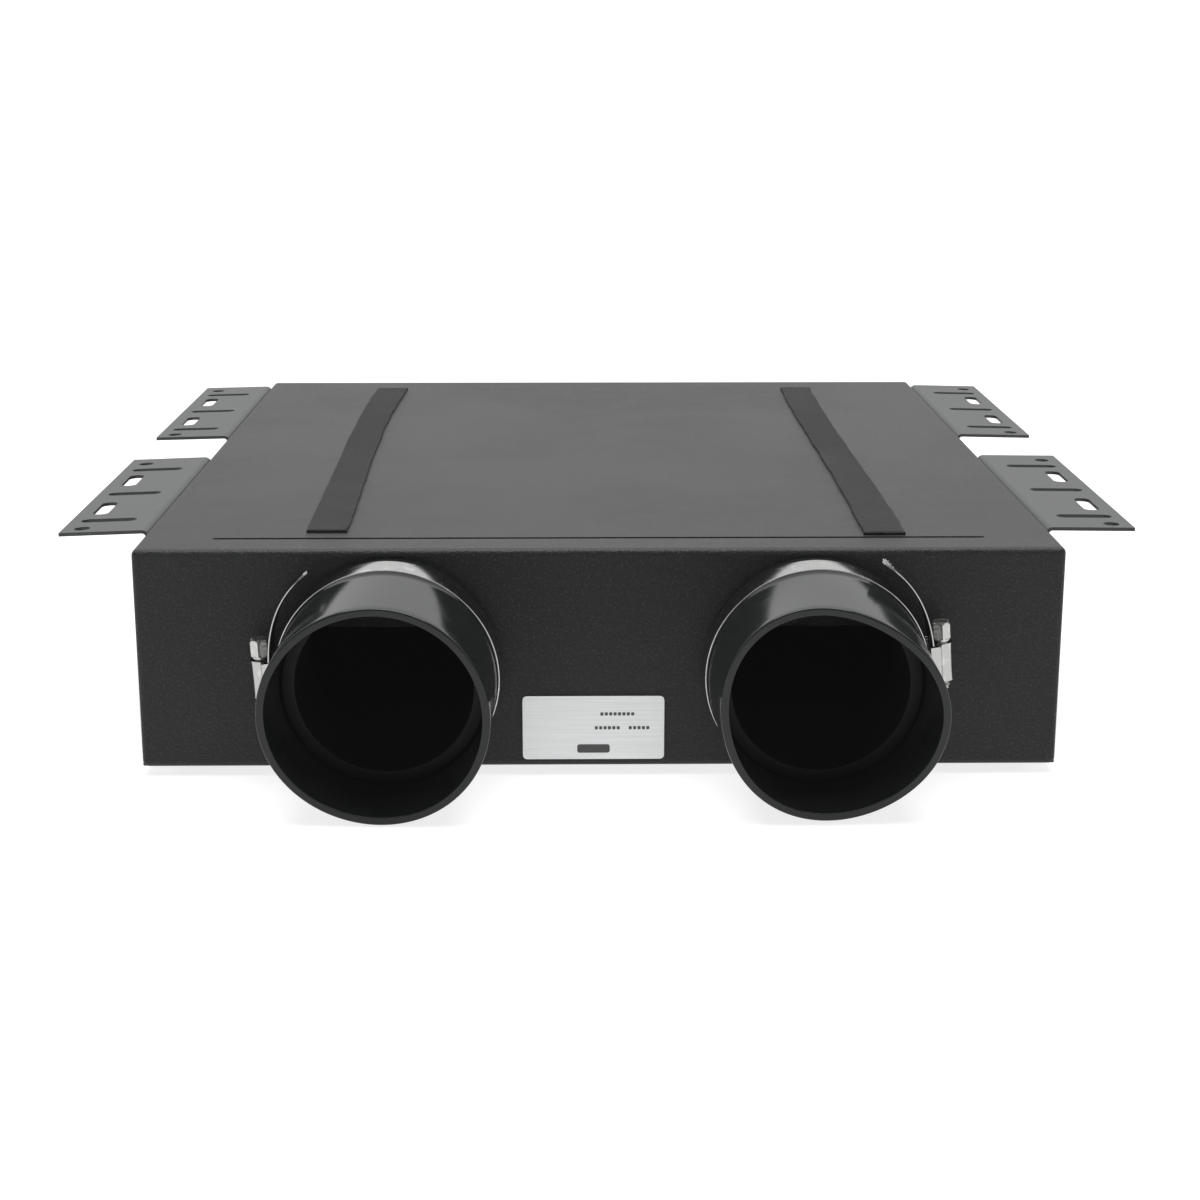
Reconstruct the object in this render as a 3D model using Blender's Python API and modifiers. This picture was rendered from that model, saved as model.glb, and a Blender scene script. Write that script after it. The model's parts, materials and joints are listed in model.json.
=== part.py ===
"""Flat ducted bass-speaker box that drops between two floor or ceiling joists.

Millimetres are converted once, by mm(). The origin is the centre of the casing's underside,
+Z is up, and the two duct sleeves point towards -Y.
"""
import math

import bmesh
import bpy
from mathutils import Matrix, Vector

# Driving dimensions, in millimetres.
CASING_W, CASING_D, CASING_H = 362.0, 413.0, 88.3
SHEET = 1.5                 # casing sheet
GAP = 0.3                   # between touching pieces
FRONT_Y = -CASING_D / 2     # outer face of the front panel
BACK_Y = CASING_D / 2       # outer face of the back panel

GROOVE_LENGTH, GROOVE_WIDTH, GROOVE_DEPTH, GROOVE_SETBACK = 304.9, 2.4, 0.7, 19.6

STRIP_W, STRIP_THICK, STRIP_END = 16.0, 1.4, 385.0
STRIP_START = {"left": 29.6, "right": 23.2}
STRIP_CENTRE = {"left": -111.2, "right": 113.4}

BRACKET_LENGTH, BRACKET_REACH, BRACKET_SHEET = 154.6, 36.8, 1.5
BRACKET_DROP, BRACKET_LEG, BRACKET_BEND = 1.0, 34.0, 3.0
BRACKET_CENTRE = {"left_front": 116.9, "right_front": 118.3, "left_rear": 327.1, "right_rear": 328.3}
HOLE_OFFSET, HOLE_REACH, HOLE_D = 67.8, 28.7, 6.4
SLIT_OFFSET, SLIT_REACH, SLIT_LENGTH, SLIT_W = 53.3, 20.8, 22.9, 6.2
OVAL_OFFSET, OVAL_REACH, OVAL_LENGTH, OVAL_W = 29.4, 27.4, 23.9, 6.5
PUNCH_FORWARD, PUNCH_DEPTH = 2.5, 12.0           # the row of punches sits forward of the middle

DUCT_HEIGHT = 42.5          # duct axis above the base, at the front panel
DUCT_X = {"left": -81.3, "right": 83.4}
DUCT_DROOP = math.radians(3.3)
DUCT_YAW = {"left": math.radians(-1.8), "right": math.radians(0.8)}
SLEEVE_R, SLEEVE_WALL, SLEEVE_REACH = 42.4, 3.1, 59.6
SLEEVE_EASE = 0.6           # bevel round the mouth
STUB_R, STUB_WALL, STUB_REACH, STUB_INSIDE = 39.0, 5.0, 27.0, 14.0

BAND_W, BAND_THICK, BAND_START = 12.7, 0.6, 3.7
BAND_R = SLEEVE_R + GAP + BAND_THICK / 2
BAND_LIFT_R, BAND_TAIL_R, BAND_TAIL_TURN = 45.3, 50.8, math.radians(56.5)
BAND_LIFT_FROM, BAND_LIFT_TO = math.radians(322), math.radians(352)
WORM_RADIUS = 49.2          # duct axis to clamp screw axis
CLAMP_TURN = {"left": math.radians(-2.6), "right": math.radians(5.1)}
HOUSING_LENGTH, HOUSING_W, HOUSING_WALL, DOME_R = 15.5, 15.0, 0.8, 4.0
HOUSING_SHELF, HOUSING_SKIRT = -1.6, -5.4       # heights measured from the screw's axis
WORM_R, WORM_LENGTH, HEAD_FLATS, HEAD_LENGTH = 2.85, 20.0, 6.35, 7.0
COLLAR_R, COLLAR_THICK, HEAD_SLOT_W, HEAD_SLOT_DEPTH = 3.3, 1.2, 1.2, 1.6

PLATE_X, PLATE_Z, PLATE_THICK = (-30.4, 25.4), (3.2, 29.2), 0.5

BAFFLE_Z, BAFFLE_THICK = 21.3, 9.0
PLENUM_Y = FRONT_Y + 130.0
BLOCK = 12.0
SCREW_R, SCREW_HEAD_R, SCREW_LENGTH = 1.9, 3.8, 13.0
LINING_THICK, LINING_MARGIN = 3.5, 2.0

WOOFER_X, WOOFER_Y = 89.0, FRONT_Y + 262.0
CUTOUT_R = 73.5
FLANGE_R, FRAME_R, SEAT_R, SEAT_BORE_R = 82.5, 68.0, 43.0, 20.0
FRAME_SHEET, SEAT_Z = 1.5, 24.5
WINDOW_X, WINDOW_HALF, WINDOW_Z = (50.0, 80.0), 17.0, (4.5, 13.5)
MAGNET_R, MAGNET_BORE_R, POLE_R, COIL_R, GAP_R = 42.0, 21.0, 12.4, 13.5, 14.1
TOP_PLATE_Z, MAGNET_Z, YOKE_Z, POLE_Z = (26.0, 31.0), (31.3, 43.3), (43.6, 48.6), 26.5
COIL_WALL, COIL_Z = 0.7, (10.5, 34.0)
CONE_R, CONE_PAPER, CONE_RIM_Z, CONE_NECK_Z = (13.9, 56.5), 0.9, 1.1, 11.1
CAP_R, CAP_RISE, CAP_SKIN, CAP_RIM_Z = 20.0, 5.4, 0.8, 8.4
ROLL_R, ROLL_MIDDLE, ROLL_SKIN, SURROUND_R = 5.6, 62.8, 0.8, (53.0, 72.8)
SPIDER_R, SPIDER_FOLDS, SPIDER_Z, SPIDER_WAVE, SPIDER_CLOTH_THICK = (14.1, 47.6), 7, 16.6, 0.8, 0.6

CUP_W, CUP_H, CUP_DEPTH, CUP_Z, CUP_WALL = 60.0, 44.0, 15.0, 58.0, 2.0
CUP_FLANGE = 5.0
POST_X, POST_R, POST_TOP, POST_TAIL = 9.5, 2.4, 13.0, -8.0
WASHER_R, WASHER_TOP, NUT_R, NUT_LOW, NUT_LENGTH = 4.6, 2.5, 5.5, 3.0, 9.0
WIRE_R, WIRE_STEPS = 1.4, 14

ROUND_STEPS, WOOFER_STEPS, SMALL_STEPS = 40, 20, 12
MERGE = 0.00001


def mm(value):
    return value / 1000.0


def point(x, y, z):
    return Vector((mm(x), mm(y), mm(z)))


for old in list(bpy.data.objects):
    bpy.data.objects.remove(old, do_unlink=True)

PARTS = bpy.data.collections.new("ducted_speaker_box")
CUTTERS = bpy.data.collections.new("cutters")
for collection in (PARTS, CUTTERS):
    bpy.context.scene.collection.children.link(collection)


def make_material(name, colour, roughness, metallic=0.0):
    material = bpy.data.materials.new(name)
    material.use_nodes = True
    shader = material.node_tree.nodes["Principled BSDF"]
    shader.inputs["Base Color"].default_value = (*colour, 1.0)
    shader.inputs["Roughness"].default_value = roughness
    shader.inputs["Metallic"].default_value = metallic
    return material


BLACK_COAT = make_material("black_texture_coat", (0.032, 0.034, 0.034), 0.62)
GREY_COAT = make_material("bracket_satin_coat", (0.10, 0.105, 0.105), 0.45)
FELT = make_material("black_felt", (0.03, 0.03, 0.03), 0.95)
RUBBER = make_material("black_rubber", (0.02, 0.02, 0.02), 0.35)
BLACK_PLASTIC = make_material("black_plastic", (0.018, 0.018, 0.018), 0.5)
RED_PLASTIC = make_material("red_plastic", (0.45, 0.02, 0.02), 0.4)
STAINLESS = make_material("stainless_band", (0.62, 0.62, 0.61), 0.22, 1.0)
ZINC_STEEL = make_material("zinc_steel", (0.55, 0.55, 0.53), 0.35, 1.0)
BRASS = make_material("brass_stud", (0.78, 0.57, 0.22), 0.3, 1.0)
SILVER_LABEL = make_material("silver_label", (0.72, 0.73, 0.74), 0.4)
FIBREBOARD = make_material("fibreboard", (0.36, 0.24, 0.14), 0.8)
FERRITE = make_material("ferrite", (0.05, 0.05, 0.055), 0.55)
PAPER_CONE = make_material("paper_cone", (0.045, 0.045, 0.05), 0.75)
COPPER_COIL = make_material("copper_coil", (0.72, 0.35, 0.16), 0.35, 1.0)
SPIDER_CLOTH = make_material("spider_cloth", (0.55, 0.42, 0.16), 0.9)
WADDING = make_material("grey_wadding", (0.32, 0.32, 0.33), 0.98)


def add_object(name, mesh, material=None, parent=None, collection=PARTS):
    obj = bpy.data.objects.new(name, mesh)
    collection.objects.link(obj)
    if material:
        mesh.materials.append(material)
    if parent:
        obj.parent = parent
    if collection is CUTTERS:
        obj.hide_render = True
        obj.display_type = 'WIRE'
    return obj


def add_empty(name, location, axes=None, parent=None):
    """An empty at a place; axes gives its local X, Y and Z directions in its parent's frame."""
    empty = bpy.data.objects.new(name, None)
    PARTS.objects.link(empty)
    empty.location = location
    if axes:
        empty.rotation_euler = Matrix(axes).transposed().to_euler()
    if parent:
        empty.parent = parent
    return empty


def shade_round(obj, angle=40):
    obj.data.shade_smooth()
    obj.data.set_sharp_from_angle(angle=math.radians(angle))


def box(name, low, high, material=None, parent=None, collection=PARTS):
    """A box between two corners given in millimetres."""
    mesh = bpy.data.meshes.new(name)
    shape = bmesh.new()
    bmesh.ops.create_cube(shape, size=1.0)
    size = [mm(high[i] - low[i]) for i in range(3)]
    centre = [mm(high[i] + low[i]) / 2 for i in range(3)]
    bmesh.ops.transform(shape, matrix=Matrix.Translation(centre) @ Matrix.Diagonal((*size, 1.0)), verts=shape.verts)
    shape.to_mesh(mesh)
    shape.free()
    return add_object(name, mesh, material, parent, collection)


def turned(name, profile, material=None, parent=None, steps=ROUND_STEPS, closed=True, collection=PARTS):
    """A profile of (radius, height) points in mm, down its outer side, swept round Z."""
    mesh = bpy.data.meshes.new(name)
    verts = [(mm(r), 0.0, mm(z)) for r, z in profile]
    edges = [(i, i + 1) for i in range(len(verts) - 1)]
    if closed:
        edges.append((len(verts) - 1, 0))
    mesh.from_pydata(verts, edges, [])
    obj = add_object(name, mesh, material, parent, collection)
    screw = obj.modifiers.new("Screw", 'SCREW')
    screw.steps = screw.render_steps = steps
    screw.use_merge_vertices = True
    screw.merge_threshold = MERGE
    return obj


def ring(name, inner, outer, low, high, *args, **kwargs):
    return turned(name, [(outer, high), (outer, low), (inner, low), (inner, high)], *args, **kwargs)


def arc(centre, radius, start, end, count):
    """Points (x, y) on an arc, angles in degrees."""
    angles = [math.radians(start + (end - start) * i / count) for i in range(count + 1)]
    return [(centre[0] + radius * math.cos(a), centre[1] + radius * math.sin(a)) for a in angles]


def outline_solid(name, outline, depth, material=None, parent=None, collection=PARTS):
    """A flat outline (x, y) in mm, extruded evenly to both sides of Z = 0, as a welded mesh."""
    curve = bpy.data.curves.new(name, 'CURVE')
    curve.dimensions = '2D'
    curve.fill_mode = 'BOTH'
    curve.extrude = mm(depth) / 2
    spline = curve.splines.new('POLY')
    spline.points.add(len(outline) - 1)
    for spot, (x, y) in zip(spline.points, outline):
        spot.co = (mm(x), mm(y), 0.0, 1.0)
    spline.use_cyclic_u = True
    guide = bpy.data.objects.new(name + "_outline", curve)
    CUTTERS.objects.link(guide)
    depsgraph = bpy.context.evaluated_depsgraph_get()
    mesh = bpy.data.meshes.new_from_object(guide.evaluated_get(depsgraph))
    bpy.data.objects.remove(guide, do_unlink=True)
    shape = bmesh.new()
    shape.from_mesh(mesh)
    bmesh.ops.remove_doubles(shape, verts=shape.verts, dist=MERGE)
    bmesh.ops.recalc_face_normals(shape, faces=shape.faces)
    shape.to_mesh(mesh)
    shape.free()
    mesh.materials.clear()
    return add_object(name, mesh, material, parent, collection)


def cut(obj, cutter):
    modifier = obj.modifiers.new(cutter.name, 'BOOLEAN')
    modifier.operation = 'DIFFERENCE'
    modifier.object = cutter


def join_body(obj, other):
    modifier = obj.modifiers.new(other.name, 'BOOLEAN')
    modifier.operation = 'UNION'
    modifier.object = other


def obround(length, width, count=5):
    """A slot outline along Y, round at both ends."""
    half = length / 2 - width / 2
    return arc((0, half), width / 2, 0, 180, count) + arc((0, -half), width / 2, 180, 360, count)


# ---- ducts: one empty each, local Z along the duct and outwards, local Y up --------------------

def duct_frame(side):
    yaw = DUCT_YAW[side]
    outward = Vector((math.sin(yaw) * math.cos(DUCT_DROOP), -math.cos(yaw) * math.cos(DUCT_DROOP),
                      -math.sin(DUCT_DROOP)))
    right = Vector((math.cos(yaw), math.sin(yaw), 0.0))
    return add_empty("duct_" + side, point(DUCT_X[side], FRONT_Y, DUCT_HEIGHT),
                     (right, outward.cross(right), outward))


def port_stub(side, duct):
    stub = ring("port_stub_" + side, STUB_R - STUB_WALL, STUB_R, -STUB_INSIDE, STUB_REACH,
                BLACK_PLASTIC, duct)
    shade_round(stub)


def rubber_sleeve(side, duct):
    """A plain rubber tube with eased edges, trimmed square against the front panel."""
    inner, ease, root = SLEEVE_R - SLEEVE_WALL, SLEEVE_EASE, -4.0
    profile = [(SLEEVE_R - ease, SLEEVE_REACH), (SLEEVE_R, SLEEVE_REACH - ease), (SLEEVE_R, root),
               (inner, root), (inner, SLEEVE_REACH - ease), (inner + ease, SLEEVE_REACH)]
    sleeve = turned("rubber_sleeve_" + side, profile, RUBBER, duct)
    face = DUCT_X[side]
    trim = box("sleeve_trim_" + side, (face - 60, FRONT_Y - GAP, -20), (face + 60, FRONT_Y + 20, 110),
               collection=CUTTERS)
    cut(sleeve, trim)
    shade_round(sleeve)


def band_radius(turn):
    """The band lies on the sleeve, rises through the housing, and its free tail spreads away."""
    if turn < BAND_LIFT_FROM:
        return BAND_R
    if turn < BAND_LIFT_TO:
        share = (turn - BAND_LIFT_FROM) / (BAND_LIFT_TO - BAND_LIFT_FROM)
        return BAND_R + (BAND_LIFT_R - BAND_R) * share * share * (3 - 2 * share)
    share = max(0.0, (turn - 2 * math.pi) / BAND_TAIL_TURN)
    return BAND_LIFT_R + (BAND_TAIL_R - BAND_LIFT_R) * share * share * (3 - 2 * share)


def clamp_band(side, duct):
    sign = -1 if side == "left" else 1
    start, end, count = math.radians(-10), 2 * math.pi + BAND_TAIL_TURN, 46
    mesh = bpy.data.meshes.new("clamp_band_" + side)
    shape = bmesh.new()
    rows = []
    for i in range(count + 1):
        turn = start + (end - start) * i / count
        radius = mm(band_radius(turn))
        angle = turn + CLAMP_TURN[side]
        x, y = sign * radius * math.cos(angle), radius * math.sin(angle)
        rows.append([shape.verts.new((x, y, mm(BAND_START + across))) for across in (0.0, BAND_W)])
    for near, far in zip(rows, rows[1:]):
        shape.faces.new((near[0], far[0], far[1], near[1]))
    shape.to_mesh(mesh)
    shape.free()
    band = add_object("clamp_band_" + side, mesh, STAINLESS, duct)
    solidify = band.modifiers.new("Solidify", 'SOLIDIFY')
    solidify.thickness = mm(BAND_THICK)
    solidify.offset = 0.0
    shade_round(band)


def clamp_seat(side, duct):
    """Empty on the worm screw's axis: local X outwards from the duct, local Z along the screw."""
    sign = -1 if side == "left" else 1
    turn = CLAMP_TURN[side]
    outwards = Vector((sign * math.cos(turn), math.sin(turn), 0.0))
    along = Vector((-sign * math.sin(turn), math.cos(turn), 0.0))
    place = outwards * mm(WORM_RADIUS) + Vector((0, 0, mm(BAND_START + BAND_W / 2)))
    return add_empty("clamp_seat_" + side, place, (outwards, along.cross(outwards), along), duct)


def clamp_housing(side, seat):
    """A stamped saddle: a dome over the screw on two skirts that straddle the band."""
    half, skirt, shelf = HOUSING_W / 2, HOUSING_SKIRT, HOUSING_SHELF
    neck = shelf + 1.2
    outer = ([(skirt, -half), (shelf, -half), (neck, -DOME_R)] + arc((0, 0), DOME_R, -65, 65, 6)
             + [(neck, DOME_R), (shelf, half), (skirt, half)])
    inner_half, under, bore = half - HOUSING_WALL, shelf - HOUSING_WALL, DOME_R - HOUSING_WALL
    inner = ([(skirt, inner_half), (under, inner_half), (under, bore)] + arc((0, 0), bore, 90, -90, 8)
             + [(under, -bore), (under, -inner_half), (skirt, -inner_half)])
    housing = outline_solid("clamp_housing_" + side, outer + inner, HOUSING_LENGTH, STAINLESS, seat)
    shade_round(housing)


def clamp_screw(side, seat):
    """The worm, its collar and a hexagon head with a slot for a screwdriver."""
    below, top = -WORM_LENGTH + HOUSING_LENGTH / 2 + 1.0, HOUSING_LENGTH / 2 + 0.5
    profile = [(0.0, top + COLLAR_THICK), (COLLAR_R, top + COLLAR_THICK), (COLLAR_R, top), (WORM_R, top),
               (WORM_R, below + 1.0), (WORM_R - 1.0, below), (0.0, below)]
    screw = turned("clamp_screw_" + side, profile, ZINC_STEEL, seat, SMALL_STEPS, closed=False)
    head_r = HEAD_FLATS / 2 / math.cos(math.radians(30))
    mesh = bpy.data.meshes.new("screw_head_" + side)
    shape = bmesh.new()
    bmesh.ops.create_cone(shape, cap_ends=True, segments=6, radius1=mm(head_r), radius2=mm(head_r),
                          depth=mm(HEAD_LENGTH))
    lift = top + COLLAR_THICK / 2 + HEAD_LENGTH / 2
    bmesh.ops.translate(shape, verts=shape.verts, vec=(0, 0, mm(lift)))
    shape.to_mesh(mesh)
    shape.free()
    head = add_object("screw_head_" + side, mesh, None, seat, CUTTERS)
    join_body(screw, head)
    slot_floor = lift + HEAD_LENGTH / 2 - HEAD_SLOT_DEPTH
    slot = box("screw_slot_" + side, (-HEAD_FLATS, -HEAD_SLOT_W / 2, slot_floor),
               (HEAD_FLATS, HEAD_SLOT_W / 2, slot_floor + HEAD_LENGTH), None, seat, CUTTERS)
    cut(screw, slot)


# ---- casing -------------------------------------------------------------------------------------

def casing():
    half, top = CASING_W / 2, CASING_H
    inside_front, inside_back = FRONT_Y + SHEET + GAP, BACK_Y - SHEET - GAP
    front = box("front_panel", (-half, FRONT_Y, 0), (half, FRONT_Y + SHEET, top), BLACK_COAT)
    for side in ("left", "right"):
        hole = turned("port_hole_" + side, [(0, 8), (STUB_R + 0.5, 8), (STUB_R + 0.5, -8), (0, -8)],
                      parent=bpy.data.objects["duct_" + side], closed=False, collection=CUTTERS)
        cut(front, hole)
    back = box("back_panel", (-half, BACK_Y - SHEET, 0), (half, BACK_Y, top), BLACK_COAT)
    cup_half, cup_rise = CUP_W / 2 - CUP_FLANGE + GAP, CUP_H / 2 - CUP_FLANGE + GAP
    cut(back, box("cup_window", (-cup_half, BACK_Y - 5, CUP_Z - cup_rise),
                  (cup_half, BACK_Y + 5, CUP_Z + cup_rise), collection=CUTTERS))
    panel = box("top_panel", (-half, inside_front, top - SHEET), (half, inside_back, top), BLACK_COAT)
    groove_y = FRONT_Y + GROOVE_SETBACK
    cut(panel, box("groove", (-GROOVE_LENGTH / 2, groove_y - GROOVE_WIDTH / 2, top - GROOVE_DEPTH),
                   (GROOVE_LENGTH / 2, groove_y + GROOVE_WIDTH / 2, top + 1), collection=CUTTERS))
    for side, sign in (("left", -1), ("right", 1)):
        edges = sorted((sign * half, sign * (half - SHEET)))
        box("side_panel_" + side, (edges[0], inside_front, SHEET + GAP),
            (edges[1], inside_back, top - SHEET - GAP), BLACK_COAT)
    return box("base_panel", (-half, inside_front, 0), (half, inside_back, SHEET), BLACK_COAT)


def base_fixings(base):
    """Four corner blocks under the baffle take the countersunk screws of the base panel."""
    across = CASING_W / 2 - SHEET - GAP - BLOCK
    depth = CASING_D / 2 - SHEET - GAP - BLOCK
    for row, sign_y in (("front", -1), ("rear", 1)):
        for side, sign_x in (("left", -1), ("right", 1)):
            name = side + "_" + row
            xs = sorted((sign_x * across, sign_x * (across + BLOCK)))
            ys = sorted((sign_y * depth, sign_y * (depth + BLOCK)))
            block = box("corner_block_" + name, (xs[0], ys[0], SHEET + GAP),
                        (xs[1], ys[1], BAFFLE_Z - GAP), FIBREBOARD)
            seat = add_empty("base_screw_seat_" + name, point(sum(xs) / 2, sum(ys) / 2, 0))
            neck = SHEET + 0.7
            turned("base_screw_" + name,
                   [(0, SCREW_LENGTH), (SCREW_R, SCREW_LENGTH), (SCREW_R, neck), (SCREW_HEAD_R, 0.2), (0, 0.2)],
                   ZINC_STEEL, seat, SMALL_STEPS, closed=False)
            clear = turned("screw_clearance_" + name,
                           [(0, SCREW_LENGTH + 1), (SCREW_R + GAP, SCREW_LENGTH + 1), (SCREW_R + GAP, neck + 0.2),
                            (SCREW_HEAD_R + 0.5, 0.1), (SCREW_HEAD_R + 0.5, -1), (0, -1)],
                           None, seat, SMALL_STEPS, closed=False, collection=CUTTERS)
            cut(block, clear)
            cut(base, clear)


def felt_strips():
    low, high = CASING_H + GAP, CASING_H + GAP + STRIP_THICK
    for side, centre in STRIP_CENTRE.items():
        box("felt_strip_" + side, (centre - STRIP_W / 2, FRONT_Y + STRIP_START[side], low),
            (centre + STRIP_W / 2, FRONT_Y + STRIP_END, high), FELT)


def rating_plate():
    box("rating_plate", (PLATE_X[0], FRONT_Y - GAP - PLATE_THICK, PLATE_Z[0]),
        (PLATE_X[1], FRONT_Y - GAP, PLATE_Z[1]), SILVER_LABEL)


def bracket(name, centre):
    """An angle plate: a leg on the casing's side, a bend, and a slotted flange near the top.

    The section is drawn in (reach, height) and extruded along the casing's depth.
    """
    sign = -1 if name.startswith("left") else 1
    leg, flange, sheet, bend = -BRACKET_LEG, 0.0, BRACKET_SHEET, BRACKET_BEND
    section = ([(BRACKET_REACH, flange), (bend, flange)] + arc((bend, -bend), bend, 90, 180, 4)[1:]
               + [(0.0, leg), (sheet, leg)]
               + arc((bend, -bend), bend - sheet, 180, 90, 4) + [(BRACKET_REACH, flange - sheet)])
    section = [(x, y) for i, (x, y) in enumerate(section) if i == 0 or (x, y) != section[i - 1]]
    edge = sign * (CASING_W / 2 + GAP)
    frame = add_empty("bracket_frame_" + name, point(edge, FRONT_Y + centre, CASING_H - BRACKET_DROP),
                      (Vector((sign, 0, 0)), Vector((0, 0, 1)), Vector((0, -sign, 0))))
    plate = outline_solid("bracket_" + name, section, BRACKET_LENGTH, GREY_COAT, frame)
    holes = [(HOLE_REACH, offset, obround(HOLE_D + 0.01, HOLE_D, 4), 0) for offset in (-HOLE_OFFSET, HOLE_OFFSET)]
    holes += [(SLIT_REACH, offset, obround(SLIT_LENGTH, SLIT_W, 3), 90)
              for offset in (-SLIT_OFFSET, 0.0, SLIT_OFFSET)]
    holes += [(OVAL_REACH, offset, obround(OVAL_LENGTH, OVAL_W, 4), 0) for offset in (-OVAL_OFFSET, OVAL_OFFSET)]
    for number, (reach, offset, outline, turn) in enumerate(holes):
        punch = outline_solid("punch_%s_%d" % (name, number), outline, PUNCH_DEPTH, collection=CUTTERS)
        punch.location = point(edge + sign * (reach - GAP), FRONT_Y + centre - PUNCH_FORWARD + offset,
                               CASING_H - BRACKET_DROP)
        punch.rotation_euler = (0.0, 0.0, math.radians(turn))
        cut(plate, punch)
    shade_round(plate, 30)


# ---- inside -------------------------------------------------------------------------------------

def baffle_and_wall():
    inside_half = CASING_W / 2 - SHEET - GAP
    baffle = box("driver_baffle", (-inside_half, PLENUM_Y, BAFFLE_Z),
                 (inside_half, BACK_Y - SHEET - GAP, BAFFLE_Z + BAFFLE_THICK), FIBREBOARD)
    for side, x in (("left", -WOOFER_X), ("right", WOOFER_X)):
        hole = turned("cutout_" + side, [(0, 5), (CUTOUT_R, 5), (CUTOUT_R, -15), (0, -15)],
                      steps=WOOFER_STEPS, closed=False, collection=CUTTERS)
        hole.location = point(x, WOOFER_Y, BAFFLE_Z + BAFFLE_THICK)
        cut(baffle, hole)
    box("plenum_wall", (-inside_half, PLENUM_Y, BAFFLE_Z + BAFFLE_THICK + GAP),
        (inside_half, PLENUM_Y + BAFFLE_THICK, CASING_H - SHEET - GAP), FIBREBOARD)
    ceiling, margin = CASING_H - SHEET - GAP, LINING_MARGIN
    box("acoustic_lining", (-inside_half + margin, PLENUM_Y + BAFFLE_THICK + margin, ceiling - LINING_THICK),
        (inside_half - margin, BACK_Y - SHEET - GAP - margin, ceiling), WADDING)


def woofer_frame(side, seat):
    """Pressed frame: flat flange, sloping wall with four windows, and a seat for the magnet."""
    wall, shelf = FRAME_SHEET, SEAT_Z + 1.2
    profile = [(FLANGE_R, GAP + wall), (FLANGE_R, GAP), (FRAME_R, GAP), (SEAT_R - wall, SEAT_Z),
               (SEAT_BORE_R, SEAT_Z), (SEAT_BORE_R, shelf), (SEAT_R, shelf), (FRAME_R + wall, GAP + wall)]
    frame = turned("woofer_frame_" + side, profile, ZINC_STEEL, seat, WOOFER_STEPS)
    for turn in range(4):
        window = box("window_%s_%d" % (side, turn), (WINDOW_X[0], -WINDOW_HALF, WINDOW_Z[0]),
                     (WINDOW_X[1], WINDOW_HALF, WINDOW_Z[1]), None, seat, CUTTERS)
        window.rotation_euler = (0.0, 0.0, math.radians(45 + 90 * turn))
        cut(frame, window)
    shade_round(frame)


def woofer_motor(side, seat):
    """Top plate, ferrite ring, and a back plate with its pole in one piece."""
    shade_round(ring("top_plate_" + side, GAP_R, MAGNET_R, *TOP_PLATE_Z, ZINC_STEEL, seat, WOOFER_STEPS))
    shade_round(ring("magnet_" + side, MAGNET_BORE_R, MAGNET_R + 1, *MAGNET_Z, FERRITE, seat, WOOFER_STEPS))
    low, high = YOKE_Z
    yoke = [(0, high), (MAGNET_R, high), (MAGNET_R, low), (POLE_R, low), (POLE_R, POLE_Z), (0, POLE_Z)]
    shade_round(turned("yoke_" + side, yoke, ZINC_STEEL, seat, WOOFER_STEPS, closed=False))


def woofer_moving_parts(side, seat):
    """Voice coil, cone and dust cap travel together along the seat's Z axis."""
    shade_round(ring("voice_coil_" + side, COIL_R - COIL_WALL, COIL_R, *COIL_Z, COPPER_COIL, seat, WOOFER_STEPS))
    inner, outer = CONE_R
    cone = [(outer, CONE_RIM_Z + CONE_PAPER), (outer, CONE_RIM_Z), (inner, CONE_NECK_Z),
            (inner, CONE_NECK_Z + CONE_PAPER)]
    shade_round(turned("cone_" + side, cone, PAPER_CONE, seat, WOOFER_STEPS))
    bow = (CAP_R * CAP_R + CAP_RISE * CAP_RISE) / (2 * CAP_RISE)
    spread = math.degrees(math.asin(CAP_R / bow))
    under = arc((0, CAP_RIM_Z - CAP_RISE + bow), bow, -90, -90 + spread, 3)
    under[0] = (0.0, under[0][1])
    cap = [(r, z + CAP_SKIN) for r, z in under] + list(reversed(under))
    shade_round(turned("dust_cap_" + side, cap, PAPER_CONE, seat, WOOFER_STEPS, closed=False), 60)


def woofer_suspension(side, seat):
    """Half-roll rubber surround and corrugated spider; both flex as the cone travels."""
    skin, roll, middle, (start, end) = ROLL_SKIN, ROLL_R, ROLL_MIDDLE, SURROUND_R
    outer_arc = arc((middle, -0.2), roll, 0, -180, 4)
    inner_arc = arc((middle, -0.2), roll - skin, -180, 0, 4)
    surround = ([(end, 0.0), (end, -skin), (middle + roll, -skin)] + outer_arc[1:-1]
                + [(middle - roll, 0.0), (start, 0.0), (start, skin), (middle - roll + skin, skin)]
                + inner_arc[1:-1] + [(middle + roll - skin, 0.0)])
    shade_round(turned("surround_" + side, surround, RUBBER, seat, WOOFER_STEPS))
    folds, (first, last) = SPIDER_FOLDS, SPIDER_R
    radii = [first + (last - first) * i / folds for i in range(folds + 1)]
    heights = [SPIDER_Z + (SPIDER_WAVE if i % 2 else -SPIDER_WAVE) for i in range(folds + 1)]
    lower = list(zip(radii, heights))
    spider = [(r, z) for r, z in reversed(lower)] + [(r, z + SPIDER_CLOTH_THICK) for r, z in lower]
    shade_round(turned("spider_" + side, spider, SPIDER_CLOTH, seat, WOOFER_STEPS))


def woofer(side):
    sign = -1 if side == "left" else 1
    seat = add_empty("woofer_seat_" + side, point(sign * WOOFER_X, WOOFER_Y, BAFFLE_Z + BAFFLE_THICK))
    woofer_frame(side, seat)
    woofer_motor(side, seat)
    woofer_moving_parts(side, seat)
    woofer_suspension(side, seat)


# ---- terminals ----------------------------------------------------------------------------------

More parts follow.
